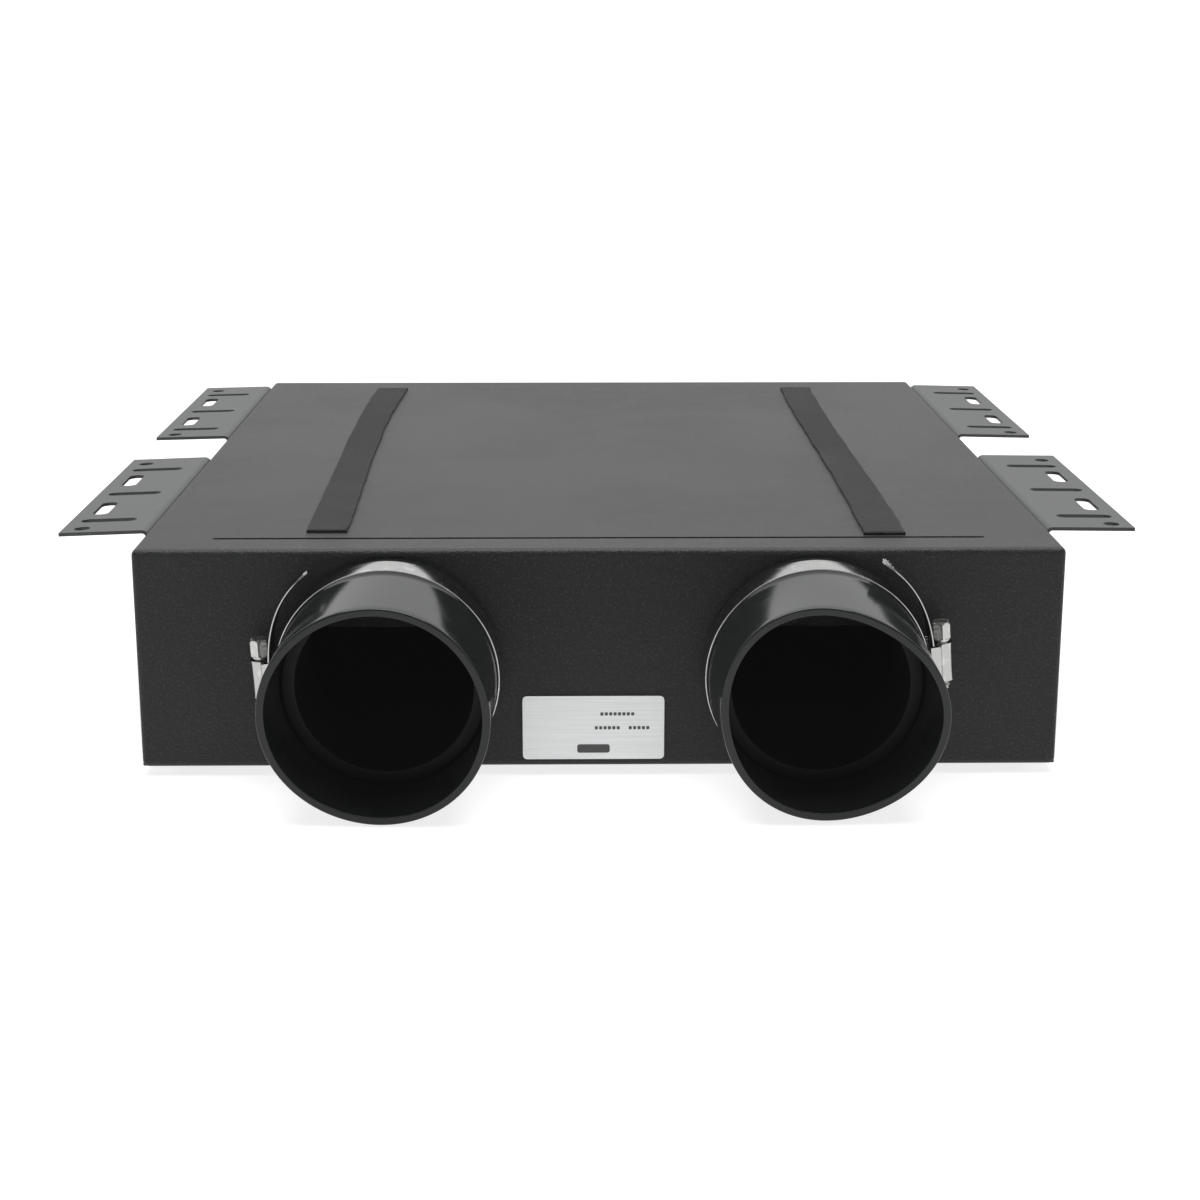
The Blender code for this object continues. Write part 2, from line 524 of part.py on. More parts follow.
def terminal_cup():
    """A moulded cup let into the back panel, open to the rear, with two posts through its floor."""
    half_w, half_h = CUP_W / 2, CUP_H / 2
    inner_w, inner_h = half_w - CUP_FLANGE, half_h - CUP_FLANGE
    floor = BACK_Y - CUP_DEPTH
    cup = box("terminal_cup", (-half_w, BACK_Y + GAP, CUP_Z - half_h),
              (half_w, BACK_Y + GAP + CUP_WALL, CUP_Z + half_h), BLACK_PLASTIC)
    join_body(cup, box("cup_body", (-inner_w, floor, CUP_Z - inner_h),
                       (inner_w, BACK_Y + GAP + 1, CUP_Z + inner_h), collection=CUTTERS))
    cut(cup, box("cup_recess", (-inner_w + CUP_WALL, floor + CUP_WALL, CUP_Z - inner_h + CUP_WALL),
                 (inner_w - CUP_WALL, BACK_Y + 10, CUP_Z + inner_h - CUP_WALL), collection=CUTTERS))
    along_y = (Vector((1, 0, 0)), Vector((0, 0, -1)), Vector((0, 1, 0)))
    for name, x, plastic in (("negative", -POST_X, BLACK_PLASTIC), ("positive", POST_X, RED_PLASTIC)):
        post = add_empty("post_seat_" + name, point(x, floor + CUP_WALL, CUP_Z), along_y)
        cut(cup, turned("post_hole_" + name, [(0, 5), (POST_R + GAP, 5), (POST_R + GAP, -5), (0, -5)],
                        parent=post, steps=SMALL_STEPS, closed=False, collection=CUTTERS))
        stud = [(0, POST_TOP), (POST_R, POST_TOP), (POST_R, WASHER_TOP), (WASHER_R, WASHER_TOP), (WASHER_R, GAP),
                (POST_R, GAP), (POST_R, POST_TAIL), (0, POST_TAIL)]
        shade_round(turned("terminal_post_" + name, stud, BRASS, post, SMALL_STEPS, closed=False))
        nut_high, bore = NUT_LOW + NUT_LENGTH, POST_R + GAP
        nut = [(NUT_R, nut_high), (NUT_R, NUT_LOW), (bore, NUT_LOW), (bore, nut_high)]
        turned("terminal_nut_" + name, nut, plastic, post, SMALL_STEPS)


def hookup_wire(side):
    """A jacketed pair from a post's tail to the tag on the woofer's frame, on a smooth run."""
    sign = -1 if side == "left" else 1
    start = Vector((sign * POST_X, BACK_Y - CUP_DEPTH - 9.5, CUP_Z))
    end = Vector((sign * (WOOFER_X - 28), WOOFER_Y + 66, BAFFLE_Z + BAFFLE_THICK + 20))
    lead_out, lead_in = start + Vector((0, -18, -6)), end + Vector((sign * -14, 14, 12))
    curve = bpy.data.curves.new("hookup_wire_" + side, 'CURVE')
    curve.dimensions = '3D'
    curve.bevel_depth = mm(WIRE_R)
    curve.bevel_resolution = 2
    curve.use_fill_caps = True
    spline = curve.splines.new('POLY')
    spline.points.add(WIRE_STEPS)
    for i, spot in enumerate(spline.points):
        t = i / WIRE_STEPS
        place = (start * (1 - t) ** 3 + lead_out * 3 * t * (1 - t) ** 2 + lead_in * 3 * t * t * (1 - t) + end * t ** 3)
        spot.co = (*(place / 1000.0), 1.0)
    curve.materials.append(BLACK_PLASTIC)
    wire = bpy.data.objects.new("hookup_wire_" + side, curve)
    PARTS.objects.link(wire)


for side in ("left", "right"):
    duct = duct_frame(side)
    port_stub(side, duct)
    rubber_sleeve(side, duct)
    clamp_band(side, duct)
    seat = clamp_seat(side, duct)
    clamp_housing(side, seat)
    clamp_screw(side, seat)

base_fixings(casing())
felt_strips()
rating_plate()
for name, centre in BRACKET_CENTRE.items():
    bracket(name, centre)
baffle_and_wall()
for side in ("left", "right"):
    woofer(side)
    hookup_wire(side)
terminal_cup()
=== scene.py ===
import json
import math

import bmesh
import bpy
import numpy as np
from mathutils import Matrix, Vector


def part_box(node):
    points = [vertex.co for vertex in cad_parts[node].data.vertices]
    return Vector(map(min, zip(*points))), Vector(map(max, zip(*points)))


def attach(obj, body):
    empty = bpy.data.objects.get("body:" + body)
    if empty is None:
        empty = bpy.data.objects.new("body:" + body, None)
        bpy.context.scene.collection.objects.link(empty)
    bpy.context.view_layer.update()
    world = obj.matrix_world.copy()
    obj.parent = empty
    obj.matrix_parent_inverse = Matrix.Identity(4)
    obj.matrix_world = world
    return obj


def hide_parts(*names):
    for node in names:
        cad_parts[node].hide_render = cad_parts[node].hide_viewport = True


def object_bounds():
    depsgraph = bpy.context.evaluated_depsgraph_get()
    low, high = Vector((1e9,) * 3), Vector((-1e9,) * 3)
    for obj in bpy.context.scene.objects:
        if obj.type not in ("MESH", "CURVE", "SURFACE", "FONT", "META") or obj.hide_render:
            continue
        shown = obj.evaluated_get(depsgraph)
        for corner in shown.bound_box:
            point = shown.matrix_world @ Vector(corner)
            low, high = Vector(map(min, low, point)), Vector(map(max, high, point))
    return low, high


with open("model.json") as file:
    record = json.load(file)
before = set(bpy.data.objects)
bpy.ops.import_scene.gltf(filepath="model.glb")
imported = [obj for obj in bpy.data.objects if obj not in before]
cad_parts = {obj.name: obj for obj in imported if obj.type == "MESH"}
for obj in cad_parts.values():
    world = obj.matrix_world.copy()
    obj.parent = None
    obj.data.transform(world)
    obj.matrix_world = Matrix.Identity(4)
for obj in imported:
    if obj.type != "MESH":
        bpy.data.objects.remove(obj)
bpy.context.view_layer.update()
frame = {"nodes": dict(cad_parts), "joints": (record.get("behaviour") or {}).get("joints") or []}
print("frame loaded with", len(frame["nodes"]), "nodes")

sides = ("left", "right")
signOf = {"left": -1.0, "right": 1.0}
jointOf = {joint["name"]: joint for joint in frame["joints"]}


def boxOf(*names):
    # lowest and highest corner of some CAD nodes together, in millimetres
    corners = [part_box(name) for name in names]
    low = np.min([np.array(c[0]) for c in corners], axis=0) * 1000
    high = np.max([np.array(c[1]) for c in corners], axis=0) * 1000
    return low, high


def gridFaces(rows, columns, closeRows=False, closeColumns=False):
    # quads between neighbouring points of a grid, point (i, j) being number i * columns + j
    i = np.arange(rows if closeRows else rows - 1)[:, None]
    j = np.arange(columns if closeColumns else columns - 1)[None, :]
    iNext, jNext = (i + 1) % rows, (j + 1) % columns
    corners = [i * columns + j, iNext * columns + j, iNext * columns + jNext, i * columns + jNext]
    return np.stack(np.broadcast_arrays(*corners), axis=-1).reshape(-1, 4).tolist()


def tubeFaces(rows, count):
    # a closed tube of rings with its first and last ring filled
    ends = [list(range(count)), list(range((rows - 1) * count, rows * count))]
    return gridFaces(rows, count, closeColumns=True) + ends


def makePiece(name, points, faces, smoothAngle=35):
    # millimetre points become a welded, outward-facing mesh whose object stays at the origin
    mesh = bpy.data.meshes.new(name)
    mesh.from_pydata((np.asarray(points).reshape(-1, 3) / 1000).tolist(), [], faces)
    tidyMesh(mesh, smoothAngle)
    piece = bpy.data.objects.new(name, mesh)
    bpy.context.scene.collection.objects.link(piece)
    return piece


def tidyMesh(mesh, smoothAngle, weld=2e-6):
    # welded and outward-facing, smooth but for the edges sharper than the angle
    shape = bmesh.new()
    shape.from_mesh(mesh)
    bmesh.ops.remove_doubles(shape, verts=shape.verts, dist=weld)
    bmesh.ops.dissolve_degenerate(shape, dist=weld, edges=shape.edges)
    bmesh.ops.recalc_face_normals(shape, faces=shape.faces)
    shape.to_mesh(mesh)
    shape.free()
    mesh.shade_smooth()
    mesh.set_sharp_from_angle(angle=math.radians(smoothAngle))


def joinPieces(name, pieces):
    # one mesh from several finished ones
    points, faces, start = [], [], 0
    for piece in pieces:
        mesh = piece.data
        points += [tuple(v.co * 1000) for v in mesh.vertices]
        faces += [[start + k for k in face.vertices] for face in mesh.polygons]
        start += len(mesh.vertices)
        bpy.data.objects.remove(piece, do_unlink=True)
    return makePiece(name, np.array(points), faces)


def carve(piece, cutters, smoothAngle=35, added=()):
    # adds closed shapes to a piece, cuts others out, applies the result and removes the shapes used
    tools = [(shape, "UNION") for shape in added] + [(shape, "DIFFERENCE") for shape in cutters]
    for shape, operation in tools:
        modifier = piece.modifiers.new(shape.name, "BOOLEAN")
        modifier.operation = operation
        modifier.solver = "EXACT"
        modifier.object = shape
    bpy.context.view_layer.update()
    depsgraph = bpy.context.evaluated_depsgraph_get()
    mesh = bpy.data.meshes.new_from_object(piece.evaluated_get(depsgraph))
    piece.modifiers.clear()
    old = piece.data
    piece.data = mesh
    bpy.data.meshes.remove(old)
    for shape, operation in tools:
        bpy.data.objects.remove(shape, do_unlink=True)
    tidyMesh(mesh, smoothAngle)
    return piece


def easeEdges(piece, width, segments=2, angle=40):
    # a small rounded edge, with normals weighted by face area so that flats stay flat
    bevel = piece.modifiers.new("eased edges", "BEVEL")
    bevel.width = width / 1000
    bevel.segments = segments
    bevel.limit_method = "ANGLE"
    bevel.angle_limit = math.radians(angle)
    bevel.use_clamp_overlap = True
    weightNormals(piece)


def weightNormals(piece):
    weighted = piece.modifiers.new("flat faces", "WEIGHTED_NORMAL")
    weighted.keep_sharp = True


def fillet(corners, radius, steps=4, closed=True):
    # each corner of an outline becomes a short quadratic arc between points a radius away along its edges
    corners = np.asarray(corners, float)
    before, after = np.roll(corners, 1, axis=0), np.roll(corners, -1, axis=0)
    radius = np.broadcast_to(np.asarray(radius, float), (len(corners),))[:, None]
    toBefore, toAfter = before - corners, after - corners
    lenBefore = np.linalg.norm(toBefore, axis=1, keepdims=True)
    lenAfter = np.linalg.norm(toAfter, axis=1, keepdims=True)
    start = corners + toBefore / lenBefore * np.minimum(radius, lenBefore * 0.49)
    end = corners + toAfter / lenAfter * np.minimum(radius, lenAfter * 0.49)
    t = np.linspace(0, 1, steps + 1)[None, :, None]
    arcs = start[:, None] * (1 - t) ** 2 + corners[:, None] * 2 * t * (1 - t) + end[:, None] * t ** 2
    if not closed:
        inner = arcs[1:-1].reshape(-1, 2)
        return np.vstack([corners[:1], inner, corners[-1:]])
    return arcs.reshape(-1, 2)


def rectangle(left, low, right, high):
    return [(left, low), (right, low), (right, high), (left, high)]


def arcPoints(centre, radius, start, end, steps):
    # points on a circular arc between two angles in degrees
    angle = np.radians(np.linspace(start, end, steps + 1))
    return np.stack([centre[0] + radius * np.cos(angle), centre[1] + radius * np.sin(angle)], axis=-1)


def frameOf(origin, xAxis=(1, 0, 0), yAxis=(0, 1, 0), zAxis=(0, 0, 1)):
    return {"origin": np.asarray(origin, float), "axes": np.array([xAxis, yAxis, zAxis], float)}


def intoFrame(points, place):
    # local x, y, z along the frame's three axes, from its origin
    return np.asarray(points) @ place["axes"] + place["origin"]


world = frameOf((0, 0, 0))


def lathe(name, profile, place, steps=96, closed=True, warp=None, smoothAngle=35):
    # a profile of (radius, height) is carried round the frame's third axis
    profile = np.asarray(profile, float)
    turn = np.linspace(0, 2 * np.pi, steps, endpoint=False)[None, :]
    radius, height = profile[:, :1], profile[:, 1:]
    points = np.stack(np.broadcast_arrays(radius * np.cos(turn), radius * np.sin(turn), height), axis=-1)
    if warp:
        points = warp(points, turn)
    faces = gridFaces(len(profile), steps, closeRows=closed, closeColumns=True)
    return makePiece(name, intoFrame(points, place), faces, smoothAngle)


def extrude(name, outline, low, high, place, smoothAngle=35):
    # an outline (x, y) is carried along the frame's third axis and closed by its two end faces
    outline = np.asarray(outline, float)
    count = len(outline)
    layers = [np.column_stack([outline, np.full(count, level)]) for level in (low, high)]
    return makePiece(name, intoFrame(np.vstack(layers), place), tubeFaces(2, count), smoothAngle)


def fromAxis(points):
    return np.linalg.norm(points[..., :2], axis=-1)


def drill(radius, low, high, place, steps=96):
    # a plain round cutter
    return lathe("hole", [(0, high), (radius, high), (radius, low), (0, low)], place, steps, closed=False)


def roundedBox(name, low, high, radius, steps=4):
    # every point of a box's skin moves onto a ball of the given radius rolled inside the box
    low, high = np.asarray(low, float), np.asarray(high, float)
    ease = radius * (1 - np.cos(np.linspace(0, np.pi / 2, steps + 1)))
    def stations(k):
        middle = np.linspace(low[k] + radius + 0.4, high[k] - radius - 0.4, 3)
        return np.concatenate([low[k] + ease, middle, high[k] - ease[::-1]])
    points, faces, start = [], [], 0
    for k in range(3):
        u, v = (k + 1) % 3, (k + 2) % 3
        a, b = np.meshgrid(stations(u), stations(v), indexing="ij")
        for level in (low[k], high[k]):
            skin = np.zeros(a.shape + (3,))
            skin[..., u], skin[..., v], skin[..., k] = a, b, level
            points.append(skin.reshape(-1, 3))
            faces += [[start + n for n in face] for face in gridFaces(*a.shape)]
            start += a.size
    skin = np.vstack(points)
    core = np.clip(skin, low + radius, high - radius)
    away = skin - core
    away = away / np.maximum(np.linalg.norm(away, axis=1, keepdims=True), 1e-9)
    return makePiece(name, core + away * radius, faces, 60)


def plainBox(name, low, high):
    # a sharp box, used to cut with
    low, high = np.asarray(low, float), np.asarray(high, float)
    return extrude(name, rectangle(low[0], low[1], high[0], high[1]), low[2], high[2], world)


def finishPiece(piece, finish, body="casing", nodes=()):
    piece.data.materials.clear()
    piece.data.materials.append(finishes[finish])
    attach(piece, body)
    if nodes:
        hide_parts(*nodes)
    return piece


def newGroup(name, inputs, outputs):
    group = bpy.data.node_groups.new(name, "ShaderNodeTree")
    for label, kind in inputs:
        group.interface.new_socket(name=label, in_out="INPUT", socket_type=kind)
    for label, kind in outputs:
        group.interface.new_socket(name=label, in_out="OUTPUT", socket_type=kind)
    return group, group.nodes.new("NodeGroupInput"), group.nodes.new("NodeGroupOutput")


def noiseNode(tree, scale, detail, roughness=0.5):
    node = tree.nodes.new("ShaderNodeTexNoise")
    node.inputs["Detail"].default_value = detail
    node.inputs["Roughness"].default_value = roughness
    if scale is not None:
        node.inputs["Scale"].default_value = scale
    return node


def rangeNode(tree, source, fromLow, fromHigh, toLow=0.0, toHigh=1.0):
    node = tree.nodes.new("ShaderNodeMapRange")
    node.interpolation_type = "SMOOTHSTEP"
    limits = {"From Min": fromLow, "From Max": fromHigh, "To Min": toLow, "To Max": toHigh}
    for label, value in limits.items():
        node.inputs[label].default_value = value
    tree.links.new(source, node.inputs["Value"])
    return node.outputs["Result"]


def mathNode(tree, operation, first, second):
    node = tree.nodes.new("ShaderNodeMath")
    node.operation = operation
    for socket, value in zip(node.inputs, (first, second)):
        if isinstance(value, (int, float)):
            socket.default_value = value
        else:
            tree.links.new(value, socket)
    return node.outputs[0]


def makeGrainGroup():
    # fine grain: a close noise for the surface's height and its brightest grains as sparse specks
    inputs = [("Vector", "NodeSocketVector"), ("Scale", "NodeSocketFloat")]
    outputs = [("Height", "NodeSocketFloat"), ("Specks", "NodeSocketFloat")]
    group, entry, leave = newGroup("fine grain", inputs, outputs)
    fine = noiseNode(group, None, 3.0, 0.62)
    group.links.new(entry.outputs["Vector"], fine.inputs["Vector"])
    group.links.new(entry.outputs["Scale"], fine.inputs["Scale"])
    group.links.new(rangeNode(group, fine.outputs["Fac"], 0.3, 0.7), leave.inputs["Height"])
    group.links.new(rangeNode(group, fine.outputs["Fac"], 0.52, 0.72), leave.inputs["Specks"])
    return group


def makeHandledGroup():
    # slow clouds broken up by a finer noise, for dust and for where hands have been
    group, entry, leave = newGroup("handled", [("Vector", "NodeSocketVector")], [("Mask", "NodeSocketFloat")])
    slow, fast = noiseNode(group, 9.0, 2.0), noiseNode(group, 70.0, 4.0, 0.6)
    for node in (slow, fast):
        group.links.new(entry.outputs["Vector"], node.inputs["Vector"])
    clouds = rangeNode(group, slow.outputs["Fac"], 0.35, 0.7)
    broken = rangeNode(group, fast.outputs["Fac"], 0.25, 0.75, 0.45, 1.0)
    group.links.new(mathNode(group, "MULTIPLY", clouds, broken), leave.inputs["Mask"])
    return group


def makeStreakGroup():
    # long thin streaks along the first direction of the vector, as rolling or brushing leaves
    inputs = [("Vector", "NodeSocketVector"), ("Stretch", "NodeSocketVector")]
    group, entry, leave = newGroup("streaks", inputs, [("Streaks", "NodeSocketFloat")])
    scaled = group.nodes.new("ShaderNodeVectorMath")
    scaled.operation = "MULTIPLY"
    group.links.new(entry.outputs["Vector"], scaled.inputs[0])
    group.links.new(entry.outputs["Stretch"], scaled.inputs[1])
    lines = noiseNode(group, 1.0, 3.0, 0.65)
    group.links.new(scaled.outputs[0], lines.inputs["Vector"])
    group.links.new(rangeNode(group, lines.outputs["Fac"], 0.3, 0.7), leave.inputs["Streaks"])
    return group


grainGroup, handledGroup, streakGroup = makeGrainGroup(), makeHandledGroup(), makeStreakGroup()


def groupNode(tree, group):
    node = tree.nodes.new("ShaderNodeGroup")
    node.node_tree = group
    return node


def makeFinish(name, look):
    # grain gives relief and specks, clouds shift colour and gloss, streaks follow the rolling direction
    material = bpy.data.materials.new(name)
    material.use_nodes = True
    tree = material.node_tree
    shader = tree.nodes["Principled BSDF"]
    where = tree.nodes.new("ShaderNodeTexCoord").outputs["Object"]
    grain = groupNode(tree, grainGroup)
    grain.inputs["Scale"].default_value = look["grain"]
    tree.links.new(where, grain.inputs["Vector"])
    clouds = groupNode(tree, handledGroup)
    tree.links.new(where, clouds.inputs["Vector"])
    height, tone = grain.outputs["Height"], grain.outputs["Specks"]
    if "stretch" in look:
        streaks = groupNode(tree, streakGroup)
        streaks.inputs["Stretch"].default_value = look["stretch"]
        tree.links.new(where, streaks.inputs["Vector"])
        height = tone = streaks.outputs["Streaks"]
    specked = colourMix(tree, tone, look["dark"], look["light"])
    dusted = colourMix(tree, mathNode(tree, "MULTIPLY", clouds.outputs["Mask"], look["dustShare"]),
                       specked, look["dust"])
    tree.links.new(dusted, shader.inputs["Base Color"])
    low, high = look["roughness"]
    gloss = mathNode(tree, "ADD", mathNode(tree, "MULTIPLY", tone, (high - low) * 0.6),
                     mathNode(tree, "MULTIPLY", clouds.outputs["Mask"], (high - low) * 0.4))
    tree.links.new(mathNode(tree, "ADD", gloss, low), shader.inputs["Roughness"])
    shader.inputs["Metallic"].default_value = look.get("metallic", 0.0)
    shader.inputs["Specular IOR Level"].default_value = look.get("specular", 0.5)
    shader.inputs["Sheen Weight"].default_value = look.get("sheen", 0.0)
    bump = tree.nodes.new("ShaderNodeBump")
    strength, depth = look["bump"]
    bump.inputs["Strength"].default_value = strength
    bump.inputs["Distance"].default_value = depth / 1000
    tree.links.new(height, bump.inputs["Height"])
    tree.links.new(bump.outputs["Normal"], shader.inputs["Normal"])
    return material


def colourMix(tree, share, first, second):
    node = tree.nodes.new("ShaderNodeMix")
    node.data_type = "RGBA"
    factor, slotA, slotB = node.inputs[0], node.inputs[6], node.inputs[7]
    tree.links.new(share, factor)
    for socket, value in ((slotA, first), (slotB, second)):
        if isinstance(value, tuple):
            socket.default_value = (*value, 1.0)
        else:
            tree.links.new(value, socket)
    return node.outputs[2]


def grey(value):
    return (value, value, value)


looks = {
    "powder coat": dict(
        dark=(0.006, 0.0065, 0.0065), light=(0.032, 0.0335, 0.0335), dust=(0.05, 0.052, 0.052),
        dustShare=0.14, roughness=(0.42, 0.6), grain=1100, bump=(0.6, 0.22), specular=0.3),
    "bracket coat": dict(
        dark=(0.03, 0.032, 0.032), light=(0.052, 0.055, 0.055), dust=grey(0.09), dustShare=0.25,
        roughness=(0.42, 0.55), grain=900, bump=(0.2, 0.06), specular=0.4),
    "felt": dict(
        dark=grey(0.009), light=grey(0.03), dust=grey(0.05), dustShare=0.3, roughness=(0.9, 1.0),
        grain=1100, bump=(0.9, 0.4), specular=0.12, sheen=0.12),
    "rubber": dict(
        dark=(0.0075, 0.0085, 0.0085), light=(0.0105, 0.0115, 0.0115), dust=(0.018, 0.019, 0.019),
        dustShare=0.3, roughness=(0.12, 0.22), grain=90, bump=(0.08, 0.05), specular=0.3),
    "black plastic": dict(
        dark=(0.006, 0.0065, 0.0065), light=(0.011, 0.0115, 0.0115), dust=grey(0.02), dustShare=0.25,
        roughness=(0.4, 0.54), grain=1600, bump=(0.25, 0.06), specular=0.12),
    "red plastic": dict(
        dark=(0.33, 0.012, 0.012), light=(0.46, 0.02, 0.018), dust=(0.4, 0.1, 0.09), dustShare=0.15,
        roughness=(0.28, 0.42), grain=1600, bump=(0.15, 0.04)),
    "stainless band": dict(
        dark=(0.4, 0.4, 0.395), light=(0.56, 0.56, 0.55), dust=(0.34, 0.34, 0.335), dustShare=0.3,
        roughness=(0.13, 0.24), metallic=1.0, grain=220, bump=(0.03, 0.02)),
    "zinc steel": dict(
        dark=(0.45, 0.45, 0.44), light=(0.63, 0.63, 0.61), dust=(0.4, 0.4, 0.36), dustShare=0.35,
        roughness=(0.26, 0.44), metallic=1.0, grain=500, bump=(0.12, 0.04)),
    "brass stud": dict(
        dark=(0.66, 0.45, 0.17), light=(0.82, 0.6, 0.25), dust=(0.45, 0.3, 0.12), dustShare=0.3,
        roughness=(0.22, 0.38), metallic=1.0, grain=500, bump=(0.1, 0.03)),
    "label foil": dict(
        dark=(0.8, 0.815, 0.82), light=(0.9, 0.91, 0.915), dust=(0.82, 0.82, 0.81), dustShare=0.2,
        roughness=(0.36, 0.5), grain=900, bump=(0.1, 0.02), stretch=(40.0, 40.0, 2600.0)),
    "label ink": dict(
        dark=grey(0.05), light=grey(0.08), dust=grey(0.12), dustShare=0.2, roughness=(0.5, 0.7), grain=1500,
        bump=(0.1, 0.01)),
    "stained board": dict(
        dark=(0.2, 0.2, 0.19), light=(0.34, 0.335, 0.32), dust=(0.36, 0.355, 0.34), dustShare=0.35,
        roughness=(0.75, 0.92), grain=700, bump=(0.4, 0.15)),
    "ferrite": dict(
        dark=(0.035, 0.035, 0.038), light=(0.075, 0.075, 0.08), dust=grey(0.09), dustShare=0.25,
        roughness=(0.45, 0.65), grain=1300, bump=(0.5, 0.1)),
    "pressed paper": dict(
        dark=(0.022, 0.022, 0.024), light=(0.06, 0.06, 0.064), dust=grey(0.08), dustShare=0.25,
        roughness=(0.7, 0.88), grain=650, bump=(0.5, 0.14)),
    "copper winding": dict(
        dark=(0.5, 0.2, 0.08), light=(0.8, 0.4, 0.2), dust=(0.5, 0.25, 0.12), dustShare=0.2,
        roughness=(0.25, 0.4), metallic=1.0, grain=500, bump=(0.5, 0.1), stretch=(60.0, 60.0, 5200.0)),
    "spider cloth": dict(
        dark=(0.38, 0.26, 0.08), light=(0.6, 0.45, 0.18), dust=(0.5, 0.42, 0.25), dustShare=0.3,
        roughness=(0.8, 0.95), grain=1500, bump=(0.7, 0.15)),
    "wadding": dict(
        dark=(0.16, 0.16, 0.17), light=(0.36, 0.36, 0.37), dust=grey(0.4), dustShare=0.3,
        roughness=(0.92, 1.0), grain=380, bump=(1.0, 0.8), sheen=0.3),
}
finishes = {name: makeFinish(name, look) for name, look in looks.items()}
print("finishes made:", len(finishes))

casingLow, casingHigh = boxOf("top_panel", "front_panel", "back_panel", "base_panel")
frontY, backY, topZ = casingLow[1], casingHigh[1], casingHigh[2]

cameraLook = dict(offset=(-9.3, -806.05, 192.3), pitch=14.77, yaw=-0.667, roll=0.008, lens=64.395)


def makeCamera():
    data = bpy.data.cameras.new("camera")
    data.lens = cameraLook["lens"]
    data.sensor_width = 36.0
    camera = bpy.data.objects.new("camera", data)
    bpy.context.scene.collection.objects.link(camera)
    spot = np.array([0, frontY, topZ]) + np.array(cameraLook["offset"])
    turn = (Matrix.Rotation(math.radians(cameraLook["yaw"]), 4, "Z")
            @ Matrix.Rotation(math.radians(90 - cameraLook["pitch"]), 4, "X")
            @ Matrix.Rotation(math.radians(cameraLook["roll"]), 4, "Z"))
    camera.matrix_world = Matrix.Translation(spot / 1000) @ turn
    bpy.context.scene.camera = camera


studio = dict(overhead=20.0, overheadSize=(1.2, 1.0), overheadPlace=(0.0, -0.1, 1.15),
              skyBack=1.05, skyFront=0.3, floorGlow=0.8, floorGrey=0.35, flare=0.0035)


def makeLight(name, watts, size, place, aim):
    data = bpy.data.lights.new(name, "AREA")
    data.shape = "RECTANGLE"
    data.size, data.size_y = size
    data.energy = watts
    lamp = bpy.data.objects.new(name, data)
    bpy.context.scene.collection.objects.link(lamp)
    direction = Matrix.Translation(aim).translation - Matrix.Translation(place).translation
    lamp.matrix_world = Matrix.Translation(place) @ direction.to_track_quat("-Z", "Y").to_matrix().to_4x4()


def makeSky():
    # white for the camera; for light and reflections bright behind the object and dim behind the camera
    sky = bpy.data.worlds.new("studio")
    sky.use_nodes = True
    bpy.context.scene.world = sky
    tree = sky.node_tree
    background = tree.nodes["Background"]
    direction = tree.nodes.new("ShaderNodeTexCoord").outputs["Generated"]
    split = tree.nodes.new("ShaderNodeSeparateXYZ")
    tree.links.new(direction, split.inputs[0])
    depth = rangeNode(tree, split.outputs["Y"], -0.35, 0.55, studio["skyFront"], studio["skyBack"])
    path = tree.nodes.new("ShaderNodeLightPath")
    strength = mathNode(tree, "MAXIMUM", depth, path.outputs["Is Camera Ray"])
    background.inputs["Color"].default_value = (1.0, 1.0, 1.0, 1.0)
    tree.links.new(strength, background.inputs["Strength"])


def makeFloor():
    # a lit white sweep: it glows a little itself, so the shadow under the object stays light
    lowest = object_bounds()[0][2] * 1000
    outline = fillet(rectangle(-9000, -4000, 9000, 60000), 200)
    floor = extrude("floor", outline, lowest - 20.5, lowest - 0.5, world)
    tone = grey(studio["floorGrey"])
    paint = makeFinish("floor paint", dict(dark=tone, light=tone, dust=tone, dustShare=0.2, specular=0.1,
                                           roughness=(0.8, 0.9), grain=200, bump=(0.02, 0.05)))
    glow = paint.node_tree.nodes["Principled BSDF"]
    glow.inputs["Emission Color"].default_value = (1.0, 1.0, 1.0, 1.0)
    glow.inputs["Emission Strength"].default_value = studio["floorGlow"]
    floor.data.materials.append(paint)


makeCamera()
makeLight("overhead", studio["overhead"], studio["overheadSize"], studio["overheadPlace"], (0, 0.0, 0.05))
makeSky()
makeFloor()
view = bpy.context.scene.view_settings
view.view_transform = "Standard"
# a little stray light in the lens keeps the deepest shadows from going fully black
view.use_curve_mapping = True
view.curve_mapping.black_level = grey(-studio["flare"])
view.curve_mapping.update()
print("camera, lights and floor ready")

ducts = dict(height=42.5, hole=39.4, left=dict(x=-81.3, droop=3.3, yaw=-1.8),
             right=dict(x=83.4, droop=3.3, yaw=0.8))
casing = dict(edge=2.4, sheet=1.5, seam=0.15, groove=(304.9, 2.4, 0.7), grooveSetback=19.6,
              window=4.7)


def ductFrame(side):
    # x to the right, y up and z outwards along the duct
    duct = ducts[side]
    droop, yaw = math.radians(duct["droop"]), math.radians(duct["yaw"])
    outward = np.array([math.sin(yaw) * math.cos(droop), -math.cos(yaw) * math.cos(droop), -math.sin(droop)])
    right = np.array([math.cos(yaw), math.sin(yaw), 0.0])
    return frameOf((duct["x"], frontY, ducts["height"]), right, np.cross(outward, right), outward)


